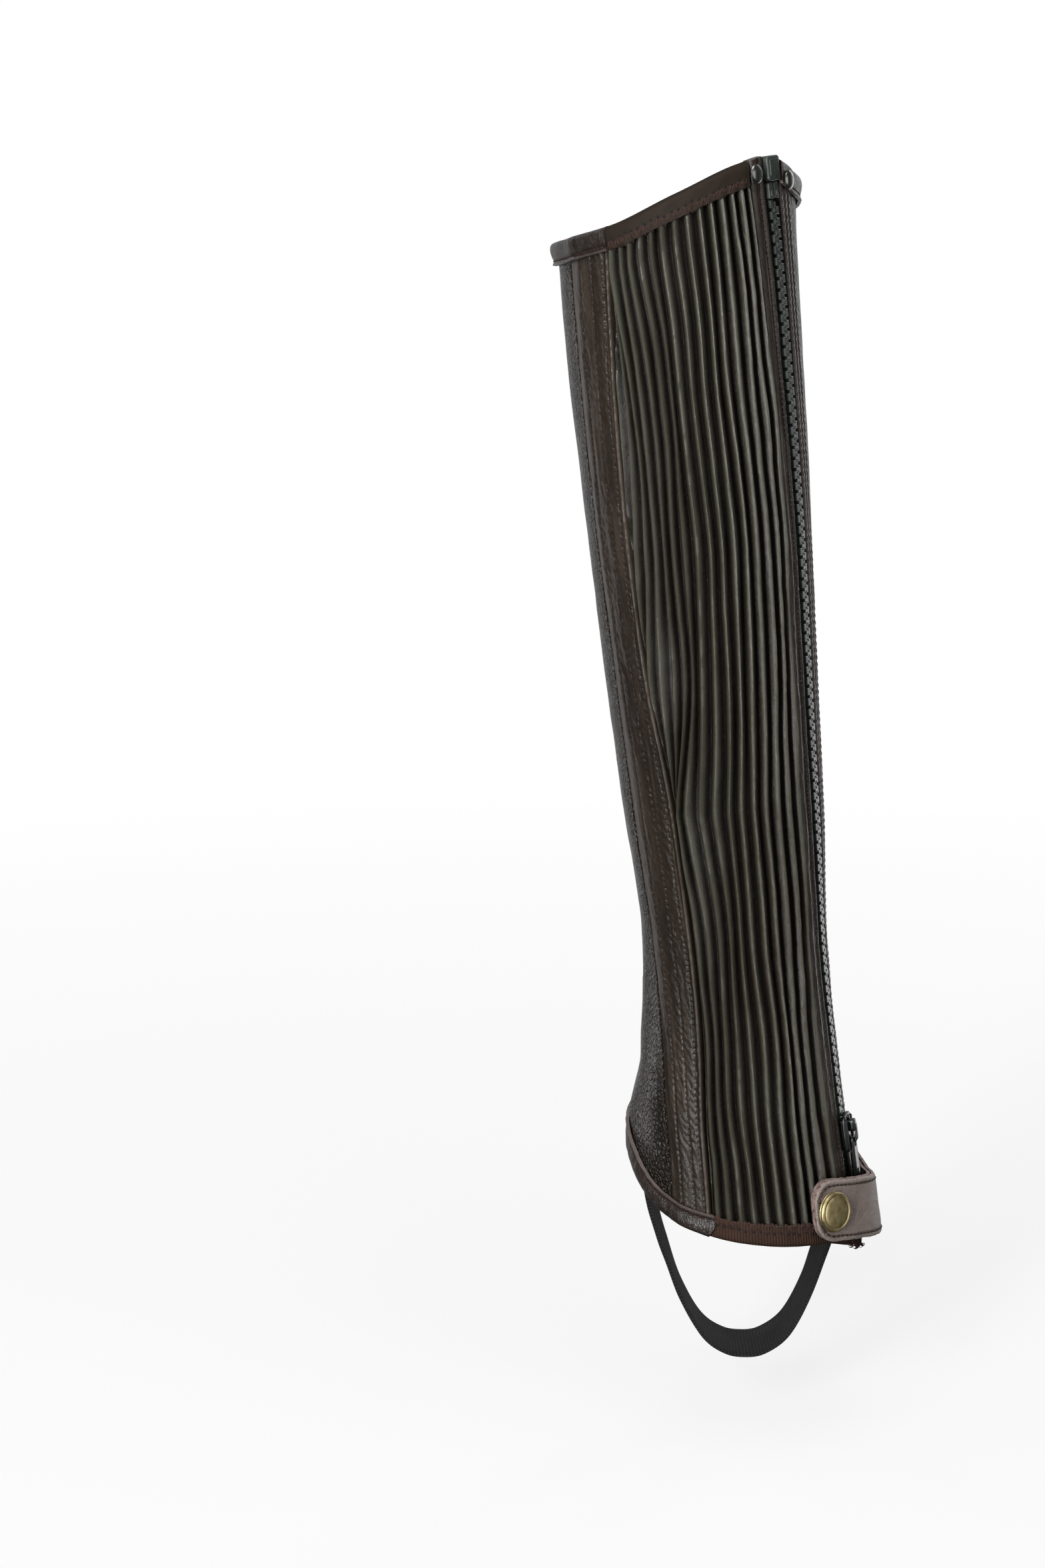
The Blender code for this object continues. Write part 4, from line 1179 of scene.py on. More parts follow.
def build_rear_placket():
    """Smooth strip folded along the rear edge of the zip."""
    seams = (placket_seam, placket_edge)
    panel("rear_placket", seams, rim, np.linspace(0, 1, 33), placket_out, placket_painted_light_and_wear,
          [BANDED, FLESH, BANDED])


# Pleats

def pleat_widths(height):
    """Width of each pleat at a height, from the placket to the band."""
    heights = np.array(PLEAT_HEIGHTS[::-1], float)
    table = np.array(PLEAT_WIDTHS, float)[:, ::-1]
    widths = []
    for index, row in enumerate(table):
        wobble = 0.3 * waviness(height, 3.7 * index, 27.0, 1.0, 31)
        widths.append(np.maximum(smooth(heights, row, height) + wobble, 0.4))
    return np.stack(widths, -1)


def pleat_open(angle, height):
    """How far the pleats have opened from their pinched ends under the elastics, from 0 to 1."""
    to_edge = np.minimum(rim(angle) - height, height - hem(angle))
    return ease(to_edge, 0.4 * PLEAT_FADE, 1.2 * PLEAT_FADE)


def pleat_profile(phase, opened):
    """Section of a pleat from 0 in its creases to 1 on its crest, sharper where it is pinched."""
    side = np.abs(2 * phase ** PLEAT_SKEW - 1)
    roundness = PLEAT_PINCHED + (PLEAT_ROUNDNESS - PLEAT_PINCHED) * opened
    return np.maximum(1 - side ** roundness, 0)


def build_pleat_panel():
    """Soft leather gathered into upright pleats, raised over a plain inside."""
    edges = (beside(band_edge, -TUCK), beside(placket_seam, TUCK), wall_foot, wall_top)
    count = len(PLEAT_WIDTHS)
    columns = count * PLEAT_STEPS
    angle, height = grid_of(*edges, np.linspace(0, 1, columns + 1), PLEAT_ROWS)
    from_placket = columns - np.arange(columns + 1)
    pleat = np.minimum(from_placket // PLEAT_STEPS, count - 1)
    step = from_placket - pleat * PLEAT_STEPS
    phase = (1 - np.cos(np.pi * step / PLEAT_STEPS)) / 2
    widths = pleat_widths(height.mean(1))
    reached = np.concatenate([np.zeros((PLEAT_ROWS + 1, 1)), np.cumsum(widths, 1)], 1)
    width = widths[:, pleat]
    share = 1 - (reached[:, pleat] + phase * width) / reached[:, -1:]
    angle, height = settle(*edges, share, height)
    opened = pleat_open(angle, height)
    profile = pleat_profile(phase, opened)
    rise = profile * np.minimum(1, width / PLEAT_FULL_WIDTH)
    rise = rise * (1 + PLEAT_UNEVEN * waviness(height, 3.1 * pleat, 24.0, 1.0, 32))
    rise = rise * (PLEAT_EDGE_SHARE + (1 - PLEAT_EDGE_SHARE) * opened)
    out = PLEAT_VALLEY_OUT + PLEAT_RISE * rise + wrinkles(height, from_placket, PLEAT_CRUMPLE) * profile
    past_band = -distance_from(band_edge, angle, height)
    past_placket = distance_from(placket_seam, angle, height)
    behind = tucked(past_band) + tucked(past_placket)
    outer, inner = wall(angle, height, out, behind, PLEATED_LEATHER)
    # Painted shade in the valleys and on the pinched ends; open crests lighter for wear and a painted
    # highlight
    tone = PLEAT_CREST_HIGHLIGHT_AND_WEAR * profile ** 3.0 * opened + PLEAT_PINCHED_SHADE * profile * (1 - opened)
    piece = shell("pleat_panel_shell", outer, inner, [PLEATED, LINING, RAW_EDGE], np.clip(tone, 0, 1))
    finish_piece(piece, ["pleat_panel"])


# Bindings and elastics

OUTER_LEG_POINTS = 17
TURN_POINTS = 15
INNER_LEG_POINTS = 6
ROLL_RELIEF = (
    (0.75, 3.2, 2.6),
    (0.35, BINDING_HEIGHT, 1.0),
)
ROLL_WRINKLES = (
    # height, slant, length, width
    (0.17, 0.0, 2.6, 5.0),
    (0.24, 0.4, 8.0, 6.0),
    (0.07, 0.0, 1.5, 2.5),
)
RUMPLED_END = (5.0, 16.0)
# Tone of a folded strip: lighter at the lip for wear and a painted highlight, painted shade in the stitch
# groove
FOLDED_PAINTED_LIGHT_AND_WEAR = (
    (0.5, BINDING_HEIGHT, 0.7),
    (-0.3, BINDING_ROW, 0.5),
)
END_CURVE_LENGTH = 7.0
RIPPLE_PITCH = 4.7
ZIGZAG_PASSES = (
    # shift, seed
    (0.0, 9),
    (0.5, 9),
    (1.5, 10),
)


def lengths_along(points):
    """Distance from the first of a line of points to each of them."""
    steps = np.linalg.norm(np.diff(points, axis=0), axis=1)
    return np.concatenate([[0.0], np.cumsum(steps)])


def fold_over(outer_leg, leg, thickness):
    """Setback from the edge, and distance out, down the outside of a folded strip's section."""
    along = 0 * outer_leg[:, :1]
    rounded = outer_leg[:, -1:]
    inside = -LEATHER - EDGE_GAP - thickness
    turn = np.linspace(0, np.pi, TURN_POINTS)[None, 1:-1]
    back = np.linspace(EDGE_ROUND, BINDING_HEIGHT, INNER_LEG_POINTS)[None, :]
    setback = np.concatenate([leg + along, EDGE_ROUND * (1 - np.sin(turn)) + along, back + along], 1)
    round_edge = (rounded + inside) / 2 + (rounded - inside) / 2 * np.cos(turn)
    return setback, np.concatenate([outer_leg, round_edge, inside + 0 * back + along], 1)


def folded_strip(name, span, edge, sign, thickness, face, finishes, end_curve=0.0, grade=0.8):
    """Strip folded over the rim (sign 1) or the hem (sign -1) between two angles.

    Face gives how far its outer face is out at a distance along the strip and a setback from the edge.
    The far end is cut on a soft curve. Returns a function for points on the outer face, and the length.
    """
    every = np.linspace(*span, 1500)
    travelled = lengths_along(surface(every, edge(every)))
    length = travelled[-1]
    distance = np.linspace(0, length, int(length / grade) + 1)[:, None]
    angle = np.interp(distance, travelled, every)
    leg = np.linspace(BINDING_HEIGHT, EDGE_ROUND, OUTER_LEG_POINTS)[None, :]
    setback, out = fold_over(face(distance, leg, angle), leg, thickness)
    slope_back = np.gradient(setback, axis=1)
    slope_out = np.gradient(out, axis=1)
    size = np.hypot(slope_back, slope_out)
    inner_setback = setback - thickness * slope_out / size
    inner_out = out + thickness * slope_back / size
    far_end = ease(distance, length - END_CURVE_LENGTH, length)
    turned_by = degrees_for(angle, edge(angle),
                            end_curve * far_end * np.sin(np.pi * setback / BINDING_HEIGHT - 0.6))
    grids = [surface(angle + turned_by, edge(angle) - sign * back, level)
             for back, level in ((setback, out), (inner_setback, inner_out))]
    grids.append(np.stack([distance + 0 * size, np.cumsum(size, 1)], -1) * MM)
    # Tone: lighter at the lip for wear and a painted highlight, painted shade in the stitch groove
    grids.append(np.clip(0.5 + humps(setback, FOLDED_PAINTED_LIGHT_AND_WEAR), 0, 1))
    outer, inner, strip, tone = (grid.swapaxes(0, 1)[::sign] for grid in grids)
    piece = shell(name + "_shell", outer, inner, finishes, tone, strip)
    finish_piece(piece, [name])

    def on_face(place, back_from_edge, lift=0.0):
        place = np.asarray(place, float)
        here = np.interp(place, travelled, every)
        level = face(place, back_from_edge, here) + lift
        return surface(here, edge(here) - sign * back_from_edge, level)

    return on_face, length


def edge_row(on_face, first, last, setback, pitch):
    """Holes and outward directions of a stitch row along a folded strip."""
    places = np.arange(first, last, pitch)
    here = on_face(places, setback)
    return here, on_face(places, setback, 1.0) - here


def binding_face(seeds, base, rumpled):
    """Outer face of a leather binding: a plump wrinkled roll over a stitched lip, with a rumpled cut end."""
    def face(distance, setback, angle):
        out = base(angle) + EDGE_GAP + BINDING + humps(setback, ROLL_RELIEF)
        out = out + stitch_dip(setback, BINDING_ROW, distance, BINDING_STITCH, 0.6, 0.6)
        wrinkle = sum(rise * waviness(distance + slant * setback, setback, length, width, seed)
                      for (rise, slant, length, width), seed in zip(ROLL_WRINKLES, seeds))
        wrinkle = wrinkle * (1 + rumpled * (1 - ease(distance, *RUMPLED_END)))
        return out + wrinkle * (1 - 0.6 * hump(setback, BINDING_ROW, 0.8))
    return face


def edge_base(edge):
    """Outer face of the wall under a binding, from the front panel's fold to the band."""
    def base(angle):
        height = edge(angle)
        distance = distance_from(round_the_front, angle, height)
        past_seam = ease(distance, -1.0, 1.0)
        return front_base(angle, height) * (1 - past_seam) + band_base(distance) * past_seam
    return base


def worn_hem(angle):
    """Hem that has sagged and frayed beside the foot of the zip, under the strap."""
    return hem(angle) - FRAYED_DROP * ease(angle, *FRAYED_START) * (1 - ease(angle, *FRAYED_FADE))


def build_bindings():
    """Leather strips folded over the rim and the hem, round the front from the zip to the pleats."""
    def round_band(height):
        return band_edge(height) + 360

    rows = []
    for name, edge, sign, seeds, curve, rumpled in (
        ("top_binding", rim, 1, (41, 42, 43), 0.0, 0.0),
        ("hem_binding", worn_hem, -1, (44, 45, 46), 2.0, 2.2),
    ):
        span = (meeting(front_edge, edge, ZIP_SIDE), meeting(round_band, edge, 320.0))
        face = binding_face(seeds, edge_base(edge), rumpled)
        on_face, length = folded_strip(name, span, edge, sign, BINDING, face,
                                       [ROLLED, FLESH, EDGED], curve)
        rows.append(edge_row(on_face, 1.2, length - 1.0, BINDING_ROW, BINDING_STITCH))
    sew("binding_stitches", rows, 0.28, RED_THREAD)


def elastic_face(seeds, base):
    """Outer face of an elastic tape, rippled by the pleats under its lower part."""
    def face(distance, setback, angle):
        drift = 2.0 * waviness(distance, 0.0, 11.0, 1.0, seeds[0])
        ripple = 0.5 + 0.5 * np.cos(2 * np.pi * distance / RIPPLE_PITCH + drift)
        out = base + EDGE_GAP + ELASTIC + 0.25 * hump(setback, 3.0, 2.8)
        out = out + 0.35 * ripple * ease(setback, 4.0, BINDING_HEIGHT)
        out = out + 0.12 * waviness(distance, setback, 3.0, 2.5, seeds[1])
        out = out - 0.9 * ease(setback, BINDING_HEIGHT, BINDING_HEIGHT + 0.7)
        return out + PLACKET_OUT * ease(angle, 48.0, 60.0) * 0.6
    return face


def zigzag_rows(on_face, first, last, seed):
    """Legs of a zigzag seam on a tape, one row for each leg, and its upper holes with their directions."""
    count = int((last - first) / ZIGZAG_PITCH * 2)
    chance = np.random.RandomState(seed)
    number = np.arange(count + 1)
    places = first + ZIGZAG_PITCH / 2 * number + chance.uniform(-0.3, 0.3, count + 1)
    setbacks = np.where(number % 2 == 0, *ZIGZAG) + chance.uniform(-0.55, 0.55, count + 1)
    here = on_face(places, setbacks)
    outs = on_face(places, setbacks, 1.0) - here
    rows = [(here[index:index + 2], outs[index:index + 2]) for index in range(count)]
    return rows, here[::2], outs[::2]


def build_elastics():
    """Elastic tapes folded over the ends of the pleats, with zigzag sewing."""
    zigzags = []
    holes = []
    for name, edge, sign, last, finish, seeds in (
        ("top_elastic", rim, 1, placket_seam, TOP_TAPE, (51, 52)),
        ("hem_elastic", worn_hem, -1, placket_edge, HEM_TAPE, (53, 54)),
    ):
        span = (meeting(beside(band_edge, -ELASTIC_TUCK), edge, -30.0),
                meeting(beside(last, -SEAM), edge, ZIP_SIDE))
        face = elastic_face(seeds, PLEAT_VALLEY_OUT + PLEAT_RISE * PLEAT_EDGE_SHARE)
        on_face, length = folded_strip(name, span, edge, sign, ELASTIC, face,
                                       [finish, finish, RAW_EDGE], grade=0.5)
        for shift, seed in ZIGZAG_PASSES:
            rows, tops, outs = zigzag_rows(on_face, 0.8 + shift, length - 0.6, seeds[0] + seed)
            zigzags += rows
        holes.append((tops, outs))
    sew("elastic_zigzags", zigzags, 0.24, RED_THREAD, 0.2, 0.15)
    places = np.concatenate([place for place, out in holes])
    outs = np.concatenate([out for place, out in holes])
    upright = np.array([[0.0, 0.0, 1.0]]) + 0 * places
    # Flat dark beads of painted shade where the zigzags' upper needle holes are
    dots("zigzag_hole_shade", places + 0.12 * unit(outs), outs, upright, 0.42, 1.0, HOLE_SHADE)


# Sewing on the panels

def upright_row(line, across, out_at, pitch, top):
    """Holes and outward directions of a stitch row beside a seam, from the hem's binding to an edge."""
    def foot(angle):
        return hem(angle) + BINDING_HEIGHT

    place = beside(line, across)
    middle = float(place(np.array(0.0)))
    first = math.ceil((foot(middle) + 1.0) / pitch)
    last = math.floor((top(middle) - 1.0) / pitch)
    height = pitch * np.arange(first, last + 1)
    angle = place(height)
    out = out_at(angle, height)
    keep = (height > foot(angle) + 1.0) & (height < top(angle) - 1.0)
    here = surface(angle, height, out)[keep]
    return here, surface(angle, height, out + 1.0)[keep] - here


def band_line(share):
    """Line at a share of the band's width from the grain seam."""
    return lambda height: grain_seam(height) + (band_edge(height) - grain_seam(height)) * share


def build_panel_stitches():
    """Rows of stitches along the front edge, on the band and on the placket."""
    def below_binding(angle):
        return rim(angle) - BINDING_HEIGHT

    front = [upright_row(front_edge, row, front_out, FRONT_STITCH, below_binding) for row in FRONT_ROWS]
    band = [upright_row(band_line(row), 0.0, band_out, BAND_STITCH, below_binding) for row in BAND_ROWS]
    placket = [upright_row(placket_seam, PLACKET_ROW, placket_out, PLACKET_STITCH, rim)]
    sew("front_edge_stitches", front, 0.3, BROWN_THREAD)
    sew("band_stitches", band, 0.26, BROWN_THREAD)
    sew("placket_stitches", placket, 0.24, BROWN_THREAD)


# Zip

def on_zip(across, height, out):
    """Point beside the zip's centre line."""
    line = zip_line(height)
    return surface(line + degrees_for(line, height, across), height, out)


def inset(outline, amount):
    """Outline moved inward by a distance, corners kept."""
    after = np.roll(outline, -1, 0) - outline
    before = outline - np.roll(outline, 1, 0)
    normals = [unit(np.stack([-way[:, 1], way[:, 0]], -1)) for way in (before, after)]
    both = normals[0] + normals[1]
    return outline + amount * both / (1 + (normals[0] * normals[1]).sum(-1, keepdims=True))


def build_zip_teeth():
    """Moulded teeth: a block on the tape, a neck and a head that locks between the other side's necks."""
    outline = np.array(TOOTH_HALF + tuple((x, -y) for x, y in TOOTH_HALF[::-1]))
    places = np.arange(SLIDER_HEIGHT + TOOTH_FOOT, CHAIN_TOP - 1.3, TOOTH_PITCH / 2)
    mirror = np.arange(len(places)) % 2 == 0
    stack = np.stack([outline, outline, inset(outline, TOOTH_BEVEL)])
    out = np.array((TOOTH_BACK, TOOTH_OUT - TOOTH_BEVEL, TOOTH_OUT))[:, None]
    across = np.where(mirror, -1.0, 1.0)[:, None, None] * stack[None, ..., 0]
    height = places[:, None, None] + stack[None, ..., 1]
    points = on_zip(across, height, out[None] + 0 * across)
    at = np.arange(across.size).reshape(across.shape)
    walls = sleeve(at)
    faces = []
    for index in range(len(places)):
        block = walls[index].reshape(-1, 4).tolist() + [at[index, 0, ::-1].tolist(), at[index, 2].tolist()]
        faces += [face[::-1] for face in block] if mirror[index] else block
    piece = object_from("zip_teeth", points.reshape(-1, 3), faces, [TOOTH_PLASTIC], sharp=30)
    finish_piece(piece, ["zip_chain"])


def build_zip_tapes():
    """Woven tapes under the leather edges, each with a raised cord beside the teeth."""
    foot = hem(zip_line(SLIDER_HEIGHT)) + TAPE_FOOT_RISE
    height = np.linspace(foot, TAPE_TOP, 301)[:, None]
    share = np.linspace(0, 1, 21)[None, :]
    narrow = (height > TAPE_TOP - TAPE_NARROW_TOP) | (height < foot + TAPE_NARROW_FOOT)
    reach = np.where(narrow, TAPE_NARROW, TAPE_REACH)
    across = TAPE_PARTING + (reach - TAPE_PARTING) * share
    out = -LEATHER - TAPE_GAP + CORD_RISE * (1 - ease(across, *CORD_EDGE))
    parted = 1 - ease(height, SLIDER_HEIGHT - 6, SLIDER_HEIGHT + 2)
    across = across + TAPE_FOOT_PARTING * parted * (1 - share)
    strip = np.stack([height + 0 * across, across], -1) * MM
    for name, sign in (("zip_tape_front", 1), ("zip_tape_rear", -1)):
        outer = on_zip(sign * across, height, out)[:, ::sign]
        inner = on_zip(sign * across, height, out - TAPE)[COARSE][:, ::sign]
        piece = shell(name + "_shell", outer, inner, [BLACK_TAPE] * 3, None, strip[:, ::sign])
        finish_piece(piece, [name])


def flat_spot(here, beside_it, above_it):
    """Frame at a point: Y towards the point above, Z out of the face, X towards the point beside."""
    up = above_it - here
    outward = unit(np.cross(beside_it - here, up))
    up = unit(up)
    side = np.cross(up, outward)
    rows = np.column_stack([side, up, outward, here])
    return Matrix([*rows, (0, 0, 0, 1)])


def frame_on(line, height, out=lambda angle, height: 0.0):
    """Flat spot on a face of the leather: X towards the shin, Y up the line, Z outward."""
    def point(angle, level):
        return surface(angle, level, out(angle, level))

    angle = line(height)
    above = height + NUDGE
    return flat_spot(point(angle, height), point(angle + NUDGE, height), point(line(above), above))


CORNER_STEPS = 8


def rounded_outline(width, height, radius, centre):
    """Rectangle with round corners."""
    points = []
    for corner, (sign_x, sign_y) in enumerate(((1, 1), (-1, 1), (-1, -1), (1, -1))):
        middle_x = centre[0] + sign_x * (width / 2 - radius)
        middle_y = centre[1] + sign_y * (height / 2 - radius)
        for step in range(CORNER_STEPS + 1):
            turn = math.radians(90 * corner + 90 * step / CORNER_STEPS)
            points.append((middle_x + radius * math.cos(turn), middle_y + radius * math.sin(turn)))
    return np.array(points)


def join_loops(bm, low, high):
    """Adds the faces between two closed loops of points."""
    for step in range(len(low)):
        after = (step + 1) % len(low)
        bm.faces.new((low[step], low[after], high[after], high[step]))


def loft(bm, loops, hole=False):
    """Adds a closed body through loops of points; with a hole, the last loop joins the first."""
    made = [[bm.verts.new(point) for point in loop] for loop in loops]
    for low, high in zip(made, made[1:]):
        join_loops(bm, low, high)
    if hole:
        join_loops(bm, made[-1], made[0])
    else:
        bm.faces.new(made[0][::-1])
        bm.faces.new(made[-1])


def at_level(outline, level):
    """Points of a flat outline at a level."""
    return [(x, y, level) for x, y in outline]


def rounded_slab(bm, width, height, radius, low, high, bevel, centre):
    """Adds a slab with round corners and softly rounded upper and lower rims."""
    outlines = []
    levels = []
    for share in (0.0, 0.25, 0.6, 1.0):
        cut = bevel * (1 - math.sin(math.pi / 2 * share))
        rise = bevel * (1 - math.cos(math.pi / 2 * share))
        outlines.append(rounded_outline(width - 2 * cut, height - 2 * cut, radius - cut, centre))
        levels.append(low + rise)
    outlines += outlines[::-1]
    levels += [high - (level - low) for level in levels[::-1]]
    loft(bm, [at_level(outline, level) for outline, level in zip(outlines, levels)])


def slabs(bm, table, side=1):
    """Adds the slabs of a table; side -1 mirrors their centres across the zip."""
    for width, height, radius, low, high, bevel, (x, y) in table:
        rounded_slab(bm, width, height, radius, low, high, bevel, (side * x, y))


def turned(bm, profile, steps, centre=(0.0, 0.0)):
    """Adds a round body about an upright axis from (radius, level) points that start and end on it."""
    made = []
    for radius, level in profile:
        turns = [2 * math.pi * step / steps for step in range(steps)] if radius else [0.0]
        loop = []
        for turn in turns:
            x = centre[0] + radius * math.cos(turn)
            y = centre[1] + radius * math.sin(turn)
            loop.append(bm.verts.new((x, y, level)))
        made.append(loop * (steps // len(loop)))
    for low, high in zip(made, made[1:]):
        for step in range(steps):
            after = (step + 1) % steps
            corners = [low[step], low[after], high[after], high[step]]
            bm.faces.new([vert for index, vert in enumerate(corners) if vert not in corners[:index]])


def hard_piece(name, bm, finish, spot, body="chap"):
    """Piece in place of one solid, from a mesh in millimetres placed at a frame."""
    bmesh.ops.recalc_face_normals(bm, faces=bm.faces)
    mesh = bpy.data.meshes.new(name + "_shell")
    bm.to_mesh(mesh)
    bm.free()
    mesh.transform(Matrix.Scale(MM, 4) @ spot)
    mesh.shade_smooth()
    mesh.set_sharp_from_angle(angle=math.radians(40))
    mesh.materials.append(finish)
    thing = bpy.data.objects.new(name + "_shell", mesh)
    bpy.context.scene.collection.objects.link(thing)
    finish_piece(thing, [name], body)


def smooth_profile(points, steps=4):
    """Turned profile with points added along soft curves between the given ones."""
    places = np.arange(len(points), dtype=float)
    fine = np.linspace(0, len(points) - 1, (len(points) - 1) * steps + 1)
    radius = smooth(places, column(points, 0), fine)
    level = smooth(places, column(points, 1), fine)
    radius[0] = 0.0
    radius[-1] = 0.0
    return list(zip(np.maximum(radius, 0.0), level))


def build_zip_top():
    """Box and pins where the zip starts."""
    box = bmesh.new()
    slabs(box, BOX_SLABS)
    hard_piece("zip_box", box, TOOTH_PLASTIC, frame_on(zip_line, BOX_CENTRE))
    for name, side in (("zip_pin_front", 1), ("zip_pin_rear", -1)):
        pin = bmesh.new()
        slabs(pin, PIN_SLABS, side)
        hard_piece(name, pin, TOOTH_PLASTIC, frame_on(zip_line, PIN_CENTRE))


def arch_points(low, high, foot, top, steps=24):
    """Side view of a squarish arch between two places: up from its foot, over and down again."""
    points = []
    for index in range(steps + 1):
        share = index / steps
        rise = (1 - abs(2 * share - 1) ** 5) ** 0.4
        points.append((low + (high - low) * share, foot + (top - foot) * rise))
    return points


def bridge(bm):
    """Adds the slider's bridge, which the tab hangs on: an arch with its tunnel, softened at both sides."""
    low, high = BRIDGE_SPAN
    foot = PLATE_TOP - 0.4
    outside = arch_points(low + 0.6, high - 0.6, foot, BRIDGE_TOP)
    tunnel = arch_points(low + 1.7, high - 1.7, foot, TUNNEL_TOP)
    side = np.array(outside + tunnel[::-1])[::-1]
    half = BRIDGE_WIDTH / 2
    rims = (
        # inset, x
        (BRIDGE_BEVEL, -half),
        (0.0, BRIDGE_BEVEL - half),
        (0.0, half - BRIDGE_BEVEL),
        (BRIDGE_BEVEL, half),
    )
    loft(bm, [[(x, y, z) for y, z in inset(side, cut)] for cut, x in rims])


def build_slider():
    """Lacquered slider: a plate with raised rims, its lips, the back plate and the bridge for the tab."""
    bm = bmesh.new()
    slabs(bm, SLIDER_SLABS)
    for side in (1, -1):
        slabs(bm, SLIDER_SIDE_SLABS, side)
    slabs(bm, SLIDER_HOUSING)
    bridge(bm)
    turned(bm, SLIDER_BEAD, 20, SLIDER_BEAD_CENTRE)
    hard_piece("zip_slider", bm, LACQUER, frame_on(zip_line, SLIDER_HEIGHT))


def build_pull_tab():
    """Flat lacquered tab with an eye for the bridge."""
    half = TAB_THICKNESS / 2
    middle = (0.0, (TAB_HEAD - TAB_LENGTH) / 2)
    length = TAB_LENGTH + TAB_HEAD
    eye = (0.0, sum(TAB_SLOT) / 2)
    eye_length = TAB_SLOT[1] - TAB_SLOT[0]
    rims = [(cut, depth - half) for cut, depth in TAB_BEVEL]
    rims += [(cut, -level) for cut, level in rims[::-1]]
    eye_rims = [(cut, half - depth) for cut, depth in TAB_EYE_BEVEL]
    eye_rims += [(cut, -level) for cut, level in eye_rims[::-1]]
    loops = []
    for cut, level in rims:
        sizes = (TAB_WIDTH - 2 * cut, length - 2 * cut, TAB_RADIUS - cut)
        loops.append(at_level(rounded_outline(*sizes, middle), level))
    for cut, level in eye_rims:
        sizes = (TAB_SLOT_WIDTH + 2 * cut, eye_length + 2 * cut, TAB_EYE_RADIUS + cut)
        loops.append(at_level(rounded_outline(*sizes, eye), level))
    bm = bmesh.new()
    loft(bm, loops, hole=True)
    slabs(bm, TAB_RAISED)
    spot = frame_on(zip_line, SLIDER_HEIGHT) @ Matrix.Translation((0.0, HINGE_Y, HINGE_Z))
    hard_piece("zip_pull_tab", bm, LACQUER, spot, "pull_tab")


# Strap, press stud and rivets

def strap_surface(angle, across, depth):
    """Point on the strap: along it by angle, across it in millimetres, outward from its inner face."""
    angles = column(STRAP, 0)
    middle = smooth(angles, column(STRAP, 1), angle)
    lift = smooth(angles, column(STRAP, 2), angle)
    return surface(angle, middle + across, lift + depth)


def strap_frame(angle, depth):
    """Flat spot on the strap's face: X along it, Z outward."""
    here = strap_surface(angle, 0.0, depth)
    return flat_spot(here, strap_surface(angle + NUDGE, 0.0, depth), strap_surface(angle, NUDGE, depth))


STRAP_ANGLES = np.linspace(STRAP[0][0], STRAP[-1][0], 800)
STRAP_PLACES = lengths_along(strap_surface(STRAP_ANGLES, 0.0, 0.0))
STRAP_LENGTH = STRAP_PLACES[-1]
STRAP_STRAIGHT = STRAP_HALF_HEIGHT - STRAP_END_RADIUS
STRAP_FACE = 2 * STRAP_LAYER + STRAP_GAP


def strap_angle(place):
    """Angle at a distance from the strap's free end."""
    return np.interp(place, STRAP_PLACES, STRAP_ANGLES)


def strap_half(distance):
    """Half the strap's height at a distance from its free end."""
    inward = np.clip(STRAP_END_RADIUS - distance, 0, None)
    return STRAP_STRAIGHT + np.sqrt(np.maximum(STRAP_END_RADIUS ** 2 - inward ** 2, 0))


def strap_margin(distance, across):
    """Distance from a place on the strap to its cut edge."""
    past = np.clip(STRAP_END_RADIUS - distance, 0, None)
    outside = np.clip(np.abs(across) - STRAP_STRAIGHT, 0, None)
    at_corner = STRAP_END_RADIUS - np.hypot(past, outside)
    at_end = np.where(np.abs(across) < STRAP_STRAIGHT, distance, at_corner)
    at_side = STRAP_HALF_HEIGHT - np.abs(across)
    return np.minimum(np.where(distance < STRAP_END_RADIUS, at_end, at_side), at_corner)


def strap_relief(place, over):
    """Relief of the outer layer: a rounded cut edge, sewing, a pressed line and a seat round the cap."""
    margin = strap_margin(place, over)
    rounded = -0.45 * np.exp(-(np.maximum(margin, 0) / 0.45) ** 2)
    sewing = stitch_dip(margin, STRAP_ROW, place + over, STRAP_STITCH, 0.3, 0.5)
    pressed = -0.14 * hump(margin, 3.9, 0.4) * ease(STRAP_END_RADIUS + 3.0 - place, 0.0, 4.0)
    seated = -0.35 * hump(np.hypot(place - SNAP_ALONG, over), 8.2, 1.4)
    return rounded + sewing + pressed + seated + 0.10 * waviness(place, over, 6.0, 5.0, 61)


def strap_row(places, overs, depth):
    """Holes and outward directions of a stitch row on the strap."""
    angle = strap_angle(places)
    here = strap_surface(angle, overs, depth)
    return here, strap_surface(angle, overs, depth + 1.0) - here


